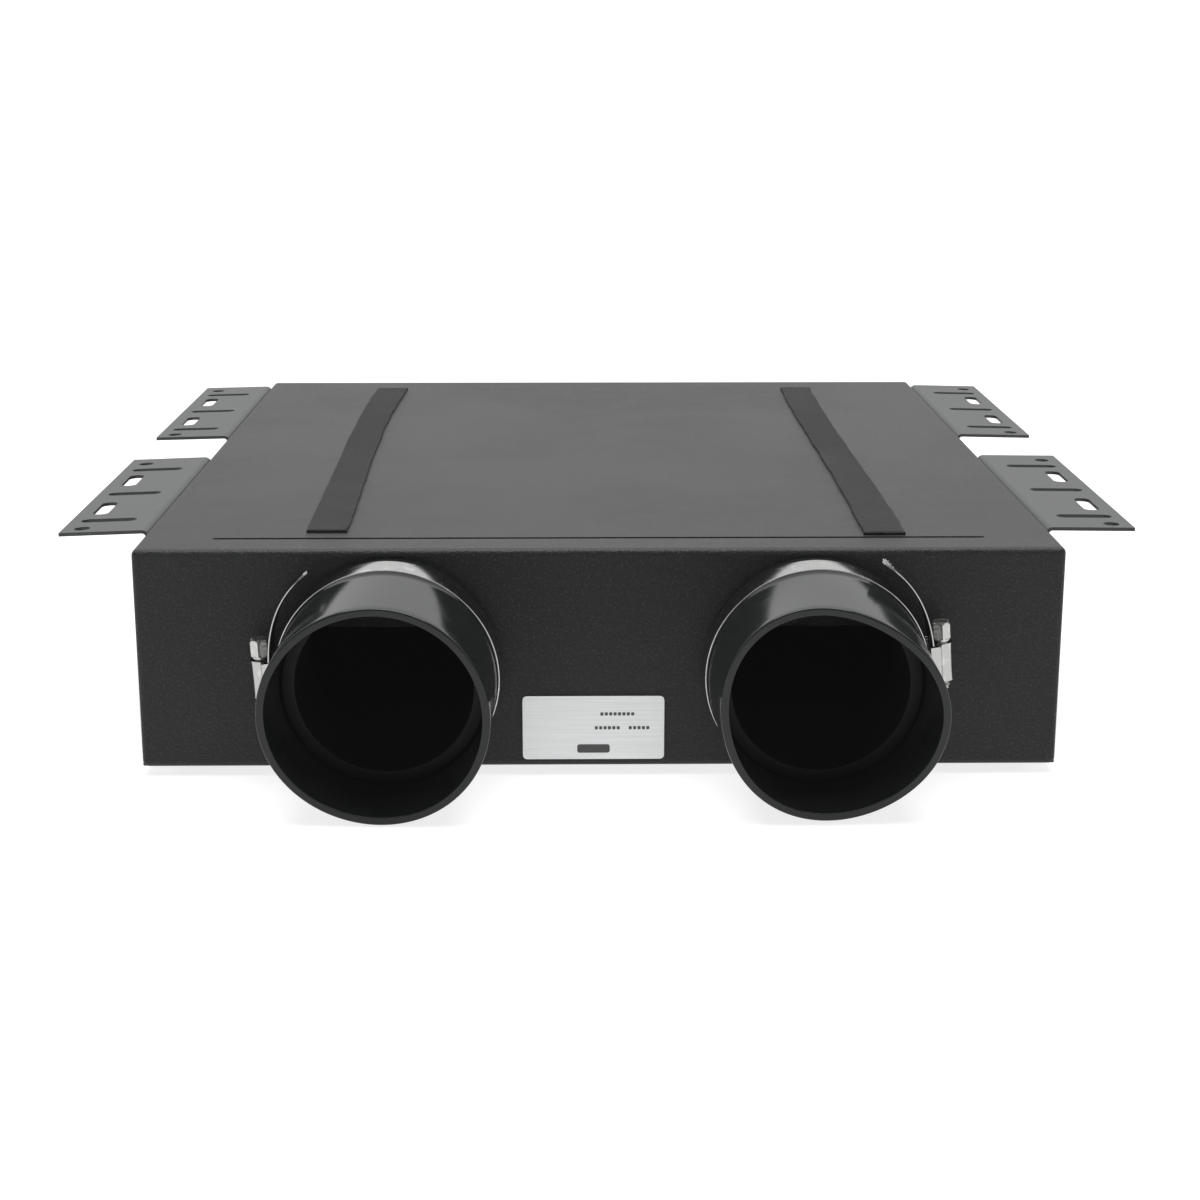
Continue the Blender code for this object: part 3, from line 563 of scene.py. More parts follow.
def makeCasingShell():
    # a rounded box hollowed from below, with the port holes, the terminal window and the groove cut in
    sheet, margin = casing["sheet"], 5.0
    shell = roundedBox("casing_shell", casingLow, casingHigh, casing["edge"])
    hollow = plainBox("hollow", casingLow + [sheet, sheet, -margin], casingHigh - sheet)
    baseLow, baseHigh = boxOf("base_panel")
    slab = plainBox("slab", baseLow - [margin, casing["seam"], margin],
                    baseHigh + [margin, casing["seam"], casing["seam"]])
    length, width, depth = casing["groove"]
    grooveY = frontY + casing["grooveSetback"]
    outline = fillet(rectangle(-length / 2, grooveY - width / 2, length / 2, grooveY + width / 2), width / 2)
    cutters = [hollow, slab, extrude("groove", outline, topZ - depth, topZ + 2, world)]
    for side in sides:
        cutters.append(drill(ducts["hole"], -8, 8, ductFrame(side)))
    cupLow, cupHigh = boxOf("terminal_cup")
    inset = casing["window"]
    cutters.append(plainBox("window", (cupLow[0] + inset, backY - 6, cupLow[2] + inset),
                            (cupHigh[0] - inset, backY + 6, cupHigh[2] - inset)))
    shell = carve(shell, cutters, 50)
    weightNormals(shell)
    finishPiece(shell, "powder coat",
                nodes=("top_panel", "front_panel", "back_panel", "side_panel_left", "side_panel_right"))


screw = dict(hole=2.3, sink=(1.2, 4.2), shank=1.9, headRadius=3.8, headTop=2.4, rim=(0.55, 0.2),
             slot=(2.1, 0.4, 1.3), thread=(0.35, 1.4), tip=12.8)


def makeBasePanel():
    low, high = boxOf("base_panel")
    panel = roundedBox("base_plate", low, high, 0.6, steps=2)
    cutters = []
    for name in screwNames():
        radius, (floor, mouth) = screw["hole"], screw["sink"]
        profile = [(0, 4), (radius, 4), (radius, floor), (mouth, -0.1), (mouth, -2), (0, -2)]
        cutters.append(lathe("sink", profile, screwFrame(name), steps=40, closed=False))
    panel = carve(panel, cutters, 50)
    finishPiece(panel, "powder coat", nodes=("base_panel",))


def screwNames():
    return ["base_screw_" + side + "_" + row for row in ("front", "rear") for side in sides]


def screwFrame(name):
    low, high = boxOf(name)
    return frameOf(((low[0] + high[0]) / 2, (low[1] + high[1]) / 2, 0))


def threadedRod(radius, depth, pitch, low, high, place, name, steps=48):
    # radius falls and rises once a turn, so the grid's ridges climb as a helix and fade out at both ends
    rows = max(24, int((high - low) / pitch * 10))
    z = np.linspace(low, high, rows)[:, None]
    turn = np.linspace(0, 2 * np.pi, steps, endpoint=False)[None, :]
    wave = np.abs(2 * np.mod(z / pitch - turn / (2 * np.pi), 1.0) - 1)
    fade = np.clip(np.minimum(z - low, high - z) / pitch, 0, 1)
    r = radius - depth * (1 - wave * fade)
    points = np.stack(np.broadcast_arrays(r * np.cos(turn), r * np.sin(turn), z), axis=-1)
    return makePiece(name, intoFrame(points, place), tubeFaces(rows, steps), 60)


def makeBaseScrews():
    shank, radius, top = screw["shank"], screw["headRadius"], screw["headTop"]
    deep, shallow = screw["rim"]
    corners = [(0, top), (shank, top), (radius, deep), (radius, shallow), (0, shallow)]
    reach, half, depth = screw["slot"]
    slotShape = fillet(rectangle(-reach, -half, reach, half), 0.15)
    turns = [((1, 0, 0), (0, 1, 0), (0, 0, 1)), ((0, 1, 0), (-1, 0, 0), (0, 0, 1))]
    for name in screwNames():
        place = screwFrame(name)
        head = lathe("head", fillet(corners, (0, 0, 0.1, 0.1, 0), 2), place, 40, closed=False)
        head = carve(head, [extrude("recess", slotShape, -1, depth, frameOf(place["origin"], *turned))
                            for turned in turns])
        rod = threadedRod(shank, *screw["thread"], top + 0.01, screw["tip"], place, "rod", 24)
        piece = joinPieces(name + "_turned", [head, rod])
        finishPiece(piece, "zinc steel", nodes=(name,))


makeCasingShell()
makeBasePanel()
makeBaseScrews()
print("casing made")

strips = dict(width=15.7, thick=1.3, roughEdge=0.14, softEnd=1.6,
              left=(-108.5, -110.3, -111.8, -112.9, -110.9), right=(113.4, 113.9, 113.5, 112.8, 113.8))


def makeFeltStrip(side):
    # a cushion-edged section is carried along a slightly bowed line; its cut edges wander a little
    low, high = boxOf("felt_strip_" + side)
    rows = 360
    t = (1 - np.cos(np.pi * np.linspace(0, 1, rows))) / 2
    centre = np.polyval(np.polyfit(np.linspace(0, 1, 5), strips[side], 3), t)
    half = strips["width"] / 2 + 0.25 * np.cos(2 * np.pi * t)
    section = fillet([(-1, 0), (1, 0), (1, 1), (-1, 1)], (0.02, 0.02, 0.12, 0.12), 4)
    random = np.random.default_rng(7 if side == "left" else 8)
    wander = np.convolve(random.normal(size=rows + 8), np.ones(9) / 9, "valid") * strips["roughEdge"] * 3
    across = section[None, :, 0] * (half + wander)[:, None]
    y = (low[1] + (high[1] - low[1]) * t)[:, None]
    fromEnd = np.clip(np.minimum(t, 1 - t) * (high[1] - low[1]) / strips["softEnd"], 0, 1)
    pile = (0.45 + 0.55 * np.sqrt(1 - (1 - fromEnd) ** 2)) * (1 - 0.05 * np.sin(9 * np.pi * t) ** 2)
    lift = section[None, :, 1] * strips["thick"] * pile[:, None]
    points = np.stack(np.broadcast_arrays(centre[:, None] + across, y, topZ + 0.1 + lift), axis=-1)
    piece = makePiece("felt_strip_" + side + "_pile", points, tubeFaces(rows, len(section)), 50)
    finishPiece(piece, "felt", nodes=("felt_strip_" + side,))


plate = dict(corner=2.0, mark=0.03)


def makeRatingPlate():
    # satin foil with plain bars where print would be
    low, high = boxOf("rating_plate")
    face = frameOf((0, low[1], 0), (1, 0, 0), (0, 0, 1), (0, -1, 0))
    outline = fillet(rectangle(low[0], low[2], high[0], high[2]), plate["corner"], 8)
    foil = extrude("rating_foil", outline, low[1] - high[1] + 0.1, 0, face)
    easeEdges(foil, 0.08)
    finishPiece(foil, "label foil", nodes=("rating_plate",))
    wide, tall = high[0] - low[0], high[2] - low[2]
    bars = [(0.50, 0.17, 0.115, 0.042)]
    bars += [(0.52 + 0.031 * k, 0.50, 0.011, 0.016) for k in range(6)]
    bars += [(0.76 + 0.031 * k, 0.50, 0.011, 0.016) for k in range(5)]
    bars += [(0.56 + 0.031 * k, 0.72, 0.011, 0.016) for k in range(8)]
    marks = []
    for x, z, halfWide, halfTall in bars:
        cx, cz = low[0] + wide * x, low[2] + tall * z
        dx, dz = wide * halfWide, tall * halfTall * 1.6
        shape = fillet(rectangle(cx - dx, cz - dz, cx + dx, cz + dz), dz * 0.5, 2)
        marks.append(extrude("bar", shape, 0.005, plate["mark"], face))
    finishPiece(joinPieces("rating_marks", marks), "label ink")


for side in sides:
    makeFeltStrip(side)
makeRatingPlate()
print("strips and plate made")

brackets = dict(sheet=1.5, bend=3.0, reach=36.5, leg=34.0,
                droop=dict(left_front=2.0, left_rear=1.4, right_front=0.6, right_rear=1.2),
                hole=(6.4, 67.8, 28.4), slit=(22.9, 6.2, 53.3, 20.5), oval=(23.9, 6.5, 29.4, 27.1),
                forward=2.5, welds=(-52.0, 0.0, 52.0), weldHeight=-20.0, weldBall=(9.0, 8.7))


def slotOutline(length, width, centre, alongX=False):
    half = (length - width) / 2
    ends = np.vstack([arcPoints((0, half), width / 2, 0, 180, 12),
                      arcPoints((0, -half), width / 2, 180, 360, 12)])
    if alongX:
        ends = ends[:, ::-1] * [1, -1]
    return ends + centre


def makeBracket(side, row):
    # an L section with a rolled bend is carried along the casing, then punched
    name = side + "_" + row
    low, high = boxOf("bracket_" + name)
    sign = signOf[side]
    inner = low[0] if side == "right" else high[0]
    place = frameOf((inner, (low[1] + high[1]) / 2, high[2]), (sign, 0, 0), (0, 0, 1), (0, 1, 0))
    sheet, bend = brackets["sheet"], brackets["bend"]
    top = np.vstack([[(0, -brackets["leg"])], arcPoints((bend, -bend), bend, 180, 90, 10),
                     [(brackets["reach"], 0)]])
    under = np.vstack([[(brackets["reach"], -sheet)], arcPoints((bend, -bend), bend - sheet, 90, 180, 10),
                       [(sheet, -brackets["leg"])]])
    section = np.vstack([top, under])
    droop = math.radians(brackets["droop"][name])
    past = np.maximum(section[:, 0] - bend, 0)
    section[:, 1] -= past * math.tan(droop)
    half = (high[1] - low[1]) / 2
    blank = extrude("bracket_" + name + "_pressed", section, -half, half, place)
    middle = (low[1] + high[1]) / 2 - brackets["forward"]
    flat = frameOf((inner, middle, high[2]), (sign, 0, 0), (0, 1, 0), (0, 0, 1))
    punches = []
    diameter, offset, reach = brackets["hole"]
    for step in (-offset, offset):
        punches.append(extrude("punch", arcPoints((reach, step), diameter / 2, 0, 360, 32)[:-1], -8, 8, flat))
    length, width, offset, reach = brackets["slit"]
    for step in (-offset, 0.0, offset):
        punches.append(extrude("punch", slotOutline(length, width, (reach, step), True), -8, 8, flat))
    length, width, offset, reach = brackets["oval"]
    for step in (-offset, offset):
        punches.append(extrude("punch", slotOutline(length, width, (reach, step)), -8, 8, flat))
    radius, lift = brackets["weldBall"]
    for step in brackets["welds"]:
        origin = intoFrame((sheet, brackets["weldHeight"], step), place)
        spot = frameOf(origin, (0, 1, 0), (0, 0, 1), (sign, 0, 0))
        punches.append(lathe("weld", arcPoints((0, lift), radius, 90, -90, 18), spot, 24, closed=False))
    piece = carve(blank, punches)
    easeEdges(piece, 0.22)
    finishPiece(piece, "bracket coat", nodes=("bracket_" + name,))


for side in sides:
    for row in ("front", "rear"):
        makeBracket(side, row)
print("brackets made")

stub = dict(outer=39.0, inner=34.0, inside=-14.0, reach=27.0)
sleeve = dict(outer=42.4, inner=39.3, reach=59.6, rim=0.9, bulge=0.5, bulgeAfter=1.6,
              bulgeSpan=1.5, roundUntil=18,
              lobes=dict(left=((0, 0.3, 0), (1, -0.1, -0.1), (2, 0.37, -0.11), (3, -0.32, -0.11)),
                         right=((0, -0.42, 0), (1, 0.58, 0.37), (2, 0.37, -1.25), (3, 1.13, 0.05))))
band = dict(width=12.7, thick=0.75, start=3.7, lift=45.3, tail=50.8, tailTurn=56.5,
            turn=dict(left=-2.6, right=5.1), rise=(322, 30), grooveSlant=0.14, grooveDepth=0.22,
            grooveHalf=4.4, groovedFrom=300)


def makeStub(side):
    profile = fillet([(stub["outer"], stub["inside"]), (stub["inner"], stub["inside"]),
                      (stub["inner"], stub["reach"]), (stub["outer"], stub["reach"])], 0.6, 3)
    piece = lathe("port_pipe_" + side, profile, ductFrame(side), 128)
    finishPiece(piece, "black plastic", nodes=("port_stub_" + side,))


def makeSleeve(side):
    # a rubber tube, square against the panel, pinched by the band and a little out of round at its mouth
    place = ductFrame(side)
    outer, inner, reach = sleeve["outer"], sleeve["inner"], sleeve["reach"]
    along = np.concatenate([np.linspace(0, 22, 34), np.linspace(23.5, reach, 22)])
    bandEnd = band["start"] + band["width"]
    fromBulge = (along - bandEnd - sleeve["bulgeAfter"]) / sleeve["bulgeSpan"]
    pinch = sleeve["bulge"] * np.exp(-fromBulge ** 2)
    skin = np.column_stack([outer + pinch, along])
    corners = [(outer, reach - 4), (outer, reach), (inner, reach), (inner, reach - 4)]
    rim = fillet(corners, (0, sleeve["rim"], 0.6, 0), 5)
    bore = np.column_stack([np.full(28, inner), np.linspace(reach - 4, 0, 28)])
    profile = np.vstack([skin[along < reach - 4], rim[(rim[:, 1] > reach - 4)], bore])

    def warp(points, turn):
        start = sleeve["roundUntil"]
        share = np.clip((points[..., 2] - start) / (reach - start), 0, 1) ** 1.5
        swell = sum(a * np.cos(n * turn) + b * np.sin(n * turn) for n, a, b in sleeve["lobes"][side])
        radius = fromAxis(points)
        points[..., :2] *= (1 + share * swell / radius)[..., None]
        outward = place["axes"][2]
        sideways = (points[..., :2] @ place["axes"][:2])[..., 1]
        rootHeight = (-0.3 - sideways) / outward[1]
        points[..., 2] = rootHeight + points[..., 2] * (reach - rootHeight) / reach
        return points

    piece = lathe("rubber_sleeve_" + side + "_tube", profile, place, 160, warp=warp, smoothAngle=50)
    finishPiece(piece, "rubber", nodes=("rubber_sleeve_" + side,))


def bandRadius(turn):
    # lies on the rubber, rises to pass over its own start, then spreads away as a free tail
    rest = sleeve["outer"] + 0.15 + band["thick"] / 2
    riseFrom, riseOver = band["rise"]
    rise = np.clip((turn - riseFrom) / riseOver, 0, 1)
    rise = rise * rise * (3 - 2 * rise)
    share = np.clip((turn - 360) / band["tailTurn"], 0, 1)
    spread = share * share * (3 - 2 * share)
    return rest + (band["lift"] - rest) * rise + (band["tail"] - band["lift"]) * spread


def makeBand(side):
    # a thin rolled strip follows a spiral; the worm's slanted grooves are pressed along its last stretch
    sign, lead = signOf[side], band["turn"][side]
    rows = 900
    turn = np.linspace(-10, 360 + band["tailTurn"], rows)
    angle = np.radians(turn + lead)
    radius = bandRadius(turn)
    half = band["width"] / 2
    section = fillet(rectangle(-0.5, -half, 0.5, half), 0.25, 2)
    fill = np.linspace(-half + 0.6, half - 0.6, 18)
    outer = np.column_stack([np.full(18, 0.5), fill])
    inner = np.column_stack([np.full(18, -0.5), fill[::-1]])
    quarter = len(section) // 4
    section = np.vstack([section[:2 * quarter], outer, section[2 * quarter:], inner])
    arcLength = np.cumsum(np.concatenate([[0], np.diff(np.radians(turn)) * radius[1:]]))
    tip = np.clip((arcLength[-1] - arcLength) / half, 0, 1)
    narrow = np.sqrt(np.clip(1 - (1 - tip) ** 2, 0.02, 1))[:, None]
    axial = section[None, :, 1] * narrow
    slant = np.mod((arcLength[:, None] + axial * band["grooveSlant"]) / worm["pitch"], 1.0)
    grooved = (np.abs(axial) < band["grooveHalf"]) & (turn[:, None] > band["groovedFrom"])
    pressed = (np.abs(slant - 0.5) < 0.22) & grooved
    offset = section[None, :, 0] * band["thick"] - band["grooveDepth"] * pressed
    r = radius[:, None] + offset
    points = np.stack(np.broadcast_arrays(sign * r * np.cos(angle)[:, None], r * np.sin(angle)[:, None],
                                          band["start"] + half + axial), axis=-1)
    faces = tubeFaces(rows, len(section))
    piece = makePiece("clamp_band_" + side + "_strip", intoFrame(points, ductFrame(side)), faces, 40)
    finishPiece(piece, "stainless band", nodes=("clamp_band_" + side,))


def clampFrame(side):
    # x away from the duct, z along the worm screw, from the joint that turns it
    joint = jointOf["clamp_screw_turn_" + side]
    axis = np.array(joint["axis"]) / np.linalg.norm(joint["axis"])
    place = ductFrame(side)
    spot = np.array(joint["pos_m"]) * 1000
    centre = place["origin"] + place["axes"][2] * ((spot - place["origin"]) @ place["axes"][2])
    away = spot - centre
    away -= axis * (away @ axis)
    away /= np.linalg.norm(away)
    return frameOf(spot, away, np.cross(axis, away), axis)


housing = dict(length=15.5, width=15.0, wall=0.8, dome=4.0, skirt=-5.4, shelf=-1.6, rows=15,
               flare=0.045)


def makeHousing(side):
    # a pressed saddle: its section stands over the screw and flares a little at both ends
    h = housing
    inside, half = h["dome"] - h["wall"], h["width"] / 2
    outer = np.vstack([[(h["skirt"], -half), (h["shelf"], -half), (h["shelf"] + 1.0, -h["dome"] - 0.4)],
                       arcPoints((0, 0), h["dome"], -68, 68, 18),
                       [(h["shelf"] + 1.0, h["dome"] + 0.4), (h["shelf"], half), (h["skirt"], half)]])
    low, edge = h["shelf"] - h["wall"], half - h["wall"]
    inner = np.vstack([[(h["skirt"], edge), (low, edge), (low, inside)],
                       arcPoints((0, 0), inside, 90, -90, 20),
                       [(low, -inside), (low, -edge), (h["skirt"], -edge)]])
    section = np.vstack([outer, inner])
    rows, count = h["rows"], len(section)
    stations = np.linspace(-1, 1, rows)
    flare = 1 + h["flare"] * np.abs(stations) ** 6
    raised = section[None] * np.stack([np.where(section[:, 0] > 0, 1, 0)[None] * (flare[:, None] - 1) + 1,
                                       np.ones((rows, count))], axis=-1)
    z = np.broadcast_to((stations * h["length"] / 2)[:, None, None], (rows, count, 1))
    points = np.concatenate([raised, z], axis=-1)
    piece = makePiece("clamp_housing_" + side + "_saddle", intoFrame(points, clampFrame(side)),
                      tubeFaces(rows, count), 40)
    easeEdges(piece, 0.15, angle=50)
    finishPiece(piece, "stainless band", nodes=("clamp_housing_" + side,))


worm = dict(radius=2.85, depth=0.6, pitch=1.9, tail=-11.2, collar=3.3, flats=6.35, top=8.25, headHeight=7.0)


def makeWorm(side):
    # helical worm, collar, and a hexagon head with chamfered top and a driver slot
    place = clampFrame(side)
    rod = threadedRod(worm["radius"], worm["depth"], worm["pitch"], worm["tail"], worm["top"] + 0.2,
                      place, "rod")
    collar = lathe("collar", fillet([(0, worm["top"] + 1.2), (worm["collar"], worm["top"] + 1.2),
                                     (worm["collar"], worm["top"]), (0, worm["top"])], (0, 0.3, 0.3, 0), 3),
                   place, 48, closed=False)
    corner = worm["flats"] / 2 / math.cos(math.radians(30))
    floor, ceiling = worm["top"] + 1.0, worm["top"] + 0.6 + worm["headHeight"]
    profile = [(0, ceiling), (corner * 0.86, ceiling), (corner * 0.97, ceiling - 0.55),
               (corner, ceiling - 0.9), (corner, floor), (0, floor)]

    def toHexagon(points, turn):
        flat = worm["flats"] / 2 / np.cos(np.mod(turn + np.pi / 6, np.pi / 3) - np.pi / 6)
        radius = fromAxis(points)
        points[..., :2] *= (np.minimum(radius, flat) / np.maximum(radius, 1e-6))[..., None]
        return points

    head = lathe("head", profile, place, 96, closed=False, warp=toHexagon, smoothAngle=20)
    slot = extrude("slot", rectangle(-6, -0.6, 6, 0.6), ceiling - 1.7, ceiling + 2, place)
    head = carve(head, [slot], 20)
    piece = joinPieces("clamp_worm_" + side, [rod, collar, head])
    finishPiece(piece, "zinc steel", "worm_" + side, ("clamp_screw_" + side,))


for side in sides:
    makeStub(side)
    makeSleeve(side)
    makeBand(side)
    makeHousing(side)
    makeWorm(side)
print("ducts and clamps made")

terminal = dict(wall=2.0, flange=5.0, hole=2.6)


def makeTerminalCup():
    low, high = boxOf("terminal_cup")
    flangeLow = (low[0], backY + 0.15, low[2])
    cup = roundedBox("terminal_flange", flangeLow, high, 0.9, 3)
    edge = terminal["flange"]
    body = roundedBox("terminal_body", (low[0] + edge, low[1], low[2] + edge),
                      (high[0] - edge, backY + 1.2, high[2] - edge), 0.9, 3)
    inset = edge + terminal["wall"]
    recess = roundedBox("recess", (low[0] + inset, low[1] + terminal["wall"], low[2] + inset),
                        (high[0] - inset, high[1] + 12, high[2] - inset), 1.6, 4)
    cutters = [recess]
    for name in ("negative", "positive"):
        cutters.append(drill(terminal["hole"], -6, 6, postFrame(name), 40))
    carve(cup, cutters, 45, added=[body])
    weightNormals(cup)
    cup.name = "terminal_cup_moulded"
    finishPiece(cup, "black plastic", nodes=("terminal_cup",))


def postFrame(name):
    joint = jointOf["terminal_nut_turn_" + name]
    return frameOf(np.array(joint["pos_m"]) * 1000, (1, 0, 0), (0, 0, -1), (0, 1, 0))


post = dict(thread=(2.4, 0.3, 0.9), threaded=(2.4, 13.0), tail=-8.0, washer=4.6, knob=(5.5, 2.7),
            knobHeight=(3.0, 12.0), shoulder=4.4, gripFrom=(4.6, 4.0), ridge=0.28, ridges=24)


def makePost(name):
    # a threaded stud on a washer, and a knob whose ridges fade out towards its foot and its bore
    place = postFrame(name)
    radius, depth, pitch = post["thread"]
    rod = threadedRod(radius, depth, pitch, *post["threaded"], place, "rod")
    corners = [(0, 2.6), (post["washer"], 2.6), (post["washer"], 0.3), (radius, 0.3), (radius, post["tail"]),
               (0, post["tail"])]
    base = lathe("base", fillet(corners, (0, 0.4, 0.2, 0, 0.4, 0), 3), place, 64, closed=False)
    piece = joinPieces("terminal_stud_" + name, [rod, base])
    finishPiece(piece, "brass stud", nodes=("terminal_post_" + name,))

    def knurl(points, turn):
        radius = fromAxis(points)
        ridge = post["ridge"] * (np.abs(np.mod(turn * post["ridges"] / (2 * np.pi), 1.0) * 2 - 1) - 1)
        fromRadius, fromHeight = post["gripFrom"]
        grip = np.clip((radius - fromRadius) / 0.6, 0, 1) * np.clip((points[..., 2] - fromHeight) / 0.5, 0, 1)
        points[..., :2] *= (1 + ridge * grip / radius)[..., None]
        return points

    (outer, bore), (foot, top) = post["knob"], post["knobHeight"]
    corners = [(outer, top), (outer, post["shoulder"]), (outer, foot), (bore, foot), (bore, top)]
    profile = fillet(corners, (0.7, 0.2, 0.5, 0.2, 0.4), 4)
    nut = lathe("terminal_knob_" + name, profile, place, 240, warp=knurl, smoothAngle=30)
    colour = "red" if name == "positive" else "black"
    finishPiece(nut, colour + " plastic", "nut_" + name,
                ("terminal_nut_" + name,))


makeTerminalCup()
for name in ("negative", "positive"):
    makePost(name)
print("terminals made")


def driverFrame(side):
    low, high = boxOf("woofer_frame_" + side)
    seatZ = boxOf("driver_baffle")[1][2]
    return frameOf(((low[0] + high[0]) / 2, (low[1] + high[1]) / 2, seatZ))


driver = dict(basket=[(82.5, 1.8), (82.5, 0.3), (68.0, 0.3), (41.5, 24.5), (20.0, 24.5), (20.0, 25.7),
                      (43.0, 25.7), (69.5, 1.8)], basketEase=(0.3, 0.3, 1.0, 1.0, 0.3, 0.3, 1.5, 1.5),
              windowReach=(50, 80), windowHalf=17, windowHeight=(4.5, 13.5),
              topPlate=[(42.0, 31.0), (42.0, 26.0), (14.1, 26.0), (14.1, 31.0)],
              magnet=[(43.0, 43.3), (43.0, 31.3), (21.0, 31.3), (21.0, 43.3)],
              yoke=[(0, 48.6), (42, 48.6), (42, 43.6), (12.4, 43.6), (12.4, 26.5), (0, 26.5)])


def makeDriver(side):
    place = driverFrame(side)
    frameShell = lathe("woofer_basket_" + side, fillet(driver["basket"], driver["basketEase"], 3), place, 120)
    (near, far), half = driver["windowReach"], driver["windowHalf"]
    outline = fillet(rectangle(near, -half, far, half), 3)
    windows = []
    for quarter in range(4):
        lean = math.radians(45 + 90 * quarter)
        across = (math.cos(lean), math.sin(lean), 0)
        spot = frameOf(place["origin"], across, (-across[1], across[0], 0), (0, 0, 1))
        windows.append(extrude("window", outline, *driver["windowHeight"], spot))
    frameShell = carve(frameShell, windows)
    easeEdges(frameShell, 0.2, 1)
    finishPiece(frameShell, "zinc steel", nodes=("woofer_frame_" + side,))
    solid = [("top_plate", driver["topPlate"], True, "zinc steel", "zinc_steel"),
             ("magnet", driver["magnet"], True, "ferrite", "ferrite"),
             ("yoke", driver["yoke"], False, "zinc steel", "zinc_steel")]
    for name, corners, closed, finish, slotName in solid:
        ends = [0 if radius == 0 else 0.5 for radius, height in corners]
        profile = fillet(corners, ends, 3, closed=closed)
        piece = lathe(name + "_" + side + "_turned", profile, place, 96, closed=closed)
        finishPiece(piece, finish, nodes=(name + "_" + side,))
    makeMovingParts(side, place)
    makeSuspension(side, place)


moving = dict(coneRadius=(13.9, 56.5), coneHeight=11.1, coneDrop=10.0, coneSheet=0.9, rib=0.25, ribPace=0.9,
              capRadius=20.0, capRise=5.4, capHeight=8.4, capSheet=0.8,
              coilRadius=(12.8, 13.38), coilHeight=(10.5, 34.0), wire=0.12, wirePace=6.0, woundFrom=20)


def makeMovingParts(side, place):
    # cone with a few pressed ribs, dust cap and wound former ride together on the driver's slide
    m = moving
    body = "cone_assembly_" + side
    neck, rim = m["coneRadius"]
    radius = np.linspace(neck, rim, 70)
    ribs = m["rib"] * np.sin((radius - neck) * m["ribPace"]) ** 6
    under = m["coneHeight"] - (radius - neck) * m["coneDrop"] / (rim - neck)
    cone = np.vstack([np.column_stack([radius[::-1], (under + m["coneSheet"] + ribs)[::-1]]),
                      np.column_stack([radius, under + ribs])])
    piece = lathe("cone_" + side + "_pressed", cone[::-1], place, 120)
    finishPiece(piece, "pressed paper", body, ("cone_" + side,))
    # a dome's radius is its half width squared plus its rise squared, over twice the rise
    reach, rise = m["capRadius"], m["capRise"]
    bow = (reach ** 2 + rise ** 2) / (2 * rise)
    spread = math.degrees(math.asin(reach / bow))
    dome = arcPoints((0, m["capHeight"] - rise + bow), bow, -90, -90 + spread, 20)
    dome[0, 0] = 0.0
    cap = np.vstack([dome + [0, m["capSheet"]], dome[::-1]])
    piece = lathe("dust_cap_" + side + "_dome", cap, place, 96, closed=False)
    finishPiece(piece, "pressed paper", body, ("dust_cap_" + side,))
    (bore, skin), (low, high) = m["coilRadius"], m["coilHeight"]
    height = np.linspace(low, high, 90)
    winding = m["wire"] * np.abs(np.sin(height * m["wirePace"])) * (height > m["woundFrom"])
    coil = np.vstack([np.column_stack([skin + winding, height]), [(bore, high), (bore, low)]])
    piece = lathe("voice_coil_" + side + "_wound", coil, place, 96)
    finishPiece(piece, "copper winding", body, ("voice_coil_" + side,))


suspension = dict(roll=(62.8, -0.2), rollRadius=(5.6, 4.8),
                  outerEdge=[(67.6, 0.0), (72.8, 0.0), (72.8, -0.8), (68.4, -0.8)],
                  innerEdge=[(57.2, 0.0), (53.0, 0.0), (53.0, 0.8), (58.0, 0.8)],
                  spiderRadius=(14.1, 47.0), spiderHeight=17.5, fold=0.8, folds=7, cloth=0.6)


def makeSuspension(side, place):
    # a half-roll rubber surround, and a spider whose folds are a cosine of the radius
    outside, inside = suspension["rollRadius"]
    roll = arcPoints(suspension["roll"], outside, 0, -180, 20)
    inner = arcPoints(suspension["roll"], inside, -180, 0, 20)
    surround = np.vstack([suspension["outerEdge"], roll[3:-1], suspension["innerEdge"], inner[1:-1]])
    piece = lathe("surround_" + side + "_roll", surround, place, 120)
    finishPiece(piece, "rubber", nodes=("surround_" + side,))
    near, far = suspension["spiderRadius"]
    radius = np.linspace(near, far, 100)
    wave = np.cos((radius - near) / (far - near) * suspension["folds"] * np.pi + np.pi)
    fold = suspension["spiderHeight"] + suspension["fold"] * wave
    spider = np.vstack([np.column_stack([radius, fold]),
                        np.column_stack([radius[::-1], fold[::-1] + suspension["cloth"]])])
    piece = lathe("spider_" + side + "_folds", spider, place, 96)
    finishPiece(piece, "spider cloth", nodes=("spider_" + side,))


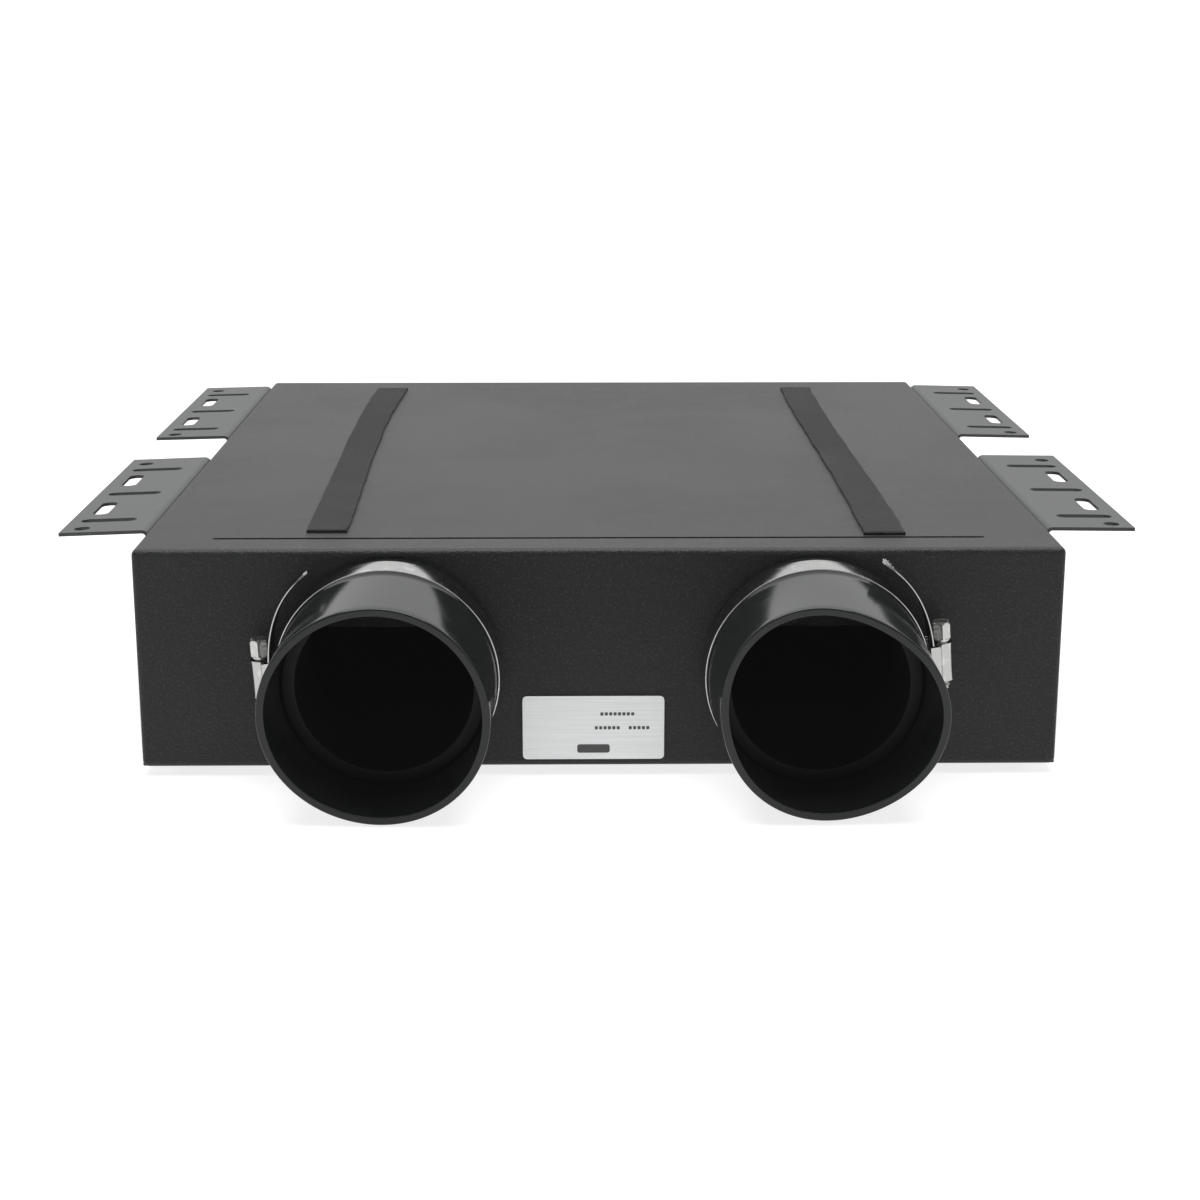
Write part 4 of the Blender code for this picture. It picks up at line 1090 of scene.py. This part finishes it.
wire = dict(radius=1.4, rows=60, spacing=9.5, out=9.5, leadOut=(0, -18, -6), reach=(28, 66, 20),
            leadIn=(14, 14, 12))


def makeWire(side):
    # a soft tube along a cubic curve from the terminal's tail to the driver's frame
    sign = signOf[side]
    place = driverFrame(side)
    low, high = boxOf("terminal_cup")
    start = np.array([sign * wire["spacing"], low[1] - wire["out"], (low[2] + high[2]) / 2])
    inward = np.array([-sign, 1, 1])
    end = place["origin"] + inward * wire["reach"]
    t = np.linspace(0, 1, wire["rows"])[:, None]
    leadOut, leadIn = start + wire["leadOut"], end + inward * wire["leadIn"]
    path = start * (1 - t) ** 3 + leadOut * 3 * t * (1 - t) ** 2 + leadIn * 3 * t * t * (1 - t) + end * t ** 3
    forward = np.gradient(path, axis=0)
    forward /= np.linalg.norm(forward, axis=1, keepdims=True)
    across = np.cross(forward, (0, 0, 1))
    across /= np.linalg.norm(across, axis=1, keepdims=True)
    up = np.cross(across, forward)
    around = np.linspace(0, 2 * np.pi, 16, endpoint=False)
    spokes = np.cos(around)[None, :, None] * across[:, None] + np.sin(around)[None, :, None] * up[:, None]
    jacket = path[:, None] + wire["radius"] * spokes
    piece = makePiece("hookup_wire_" + side + "_jacket", jacket, tubeFaces(wire["rows"], 16), 50)
    finishPiece(piece, "black plastic", nodes=("hookup_wire_" + side,))


boards = dict(edge=0.5, paddingEdge=1.2, cutout=73.5)


def makeBoards():
    names = ["corner_block_" + side + "_" + row for side in sides for row in ("front", "rear")]
    for name in ["plenum_wall"] + names:
        piece = roundedBox(name + "_board", *boxOf(name), boards["edge"], 2)
        finishPiece(piece, "stained board", nodes=(name,))
    pad = roundedBox("acoustic_lining_pad", *boxOf("acoustic_lining"), boards["paddingEdge"], 3)
    finishPiece(pad, "wadding", nodes=("acoustic_lining",))
    board = roundedBox("driver_baffle_board", *boxOf("driver_baffle"), boards["edge"], 2)
    holes = [drill(boards["cutout"], -16, 6, driverFrame(side)) for side in sides]
    finishPiece(carve(board, holes), "stained board", nodes=("driver_baffle",))


for side in sides:
    makeDriver(side)
    makeWire(side)
makeBoards()
print("drivers and boards made")
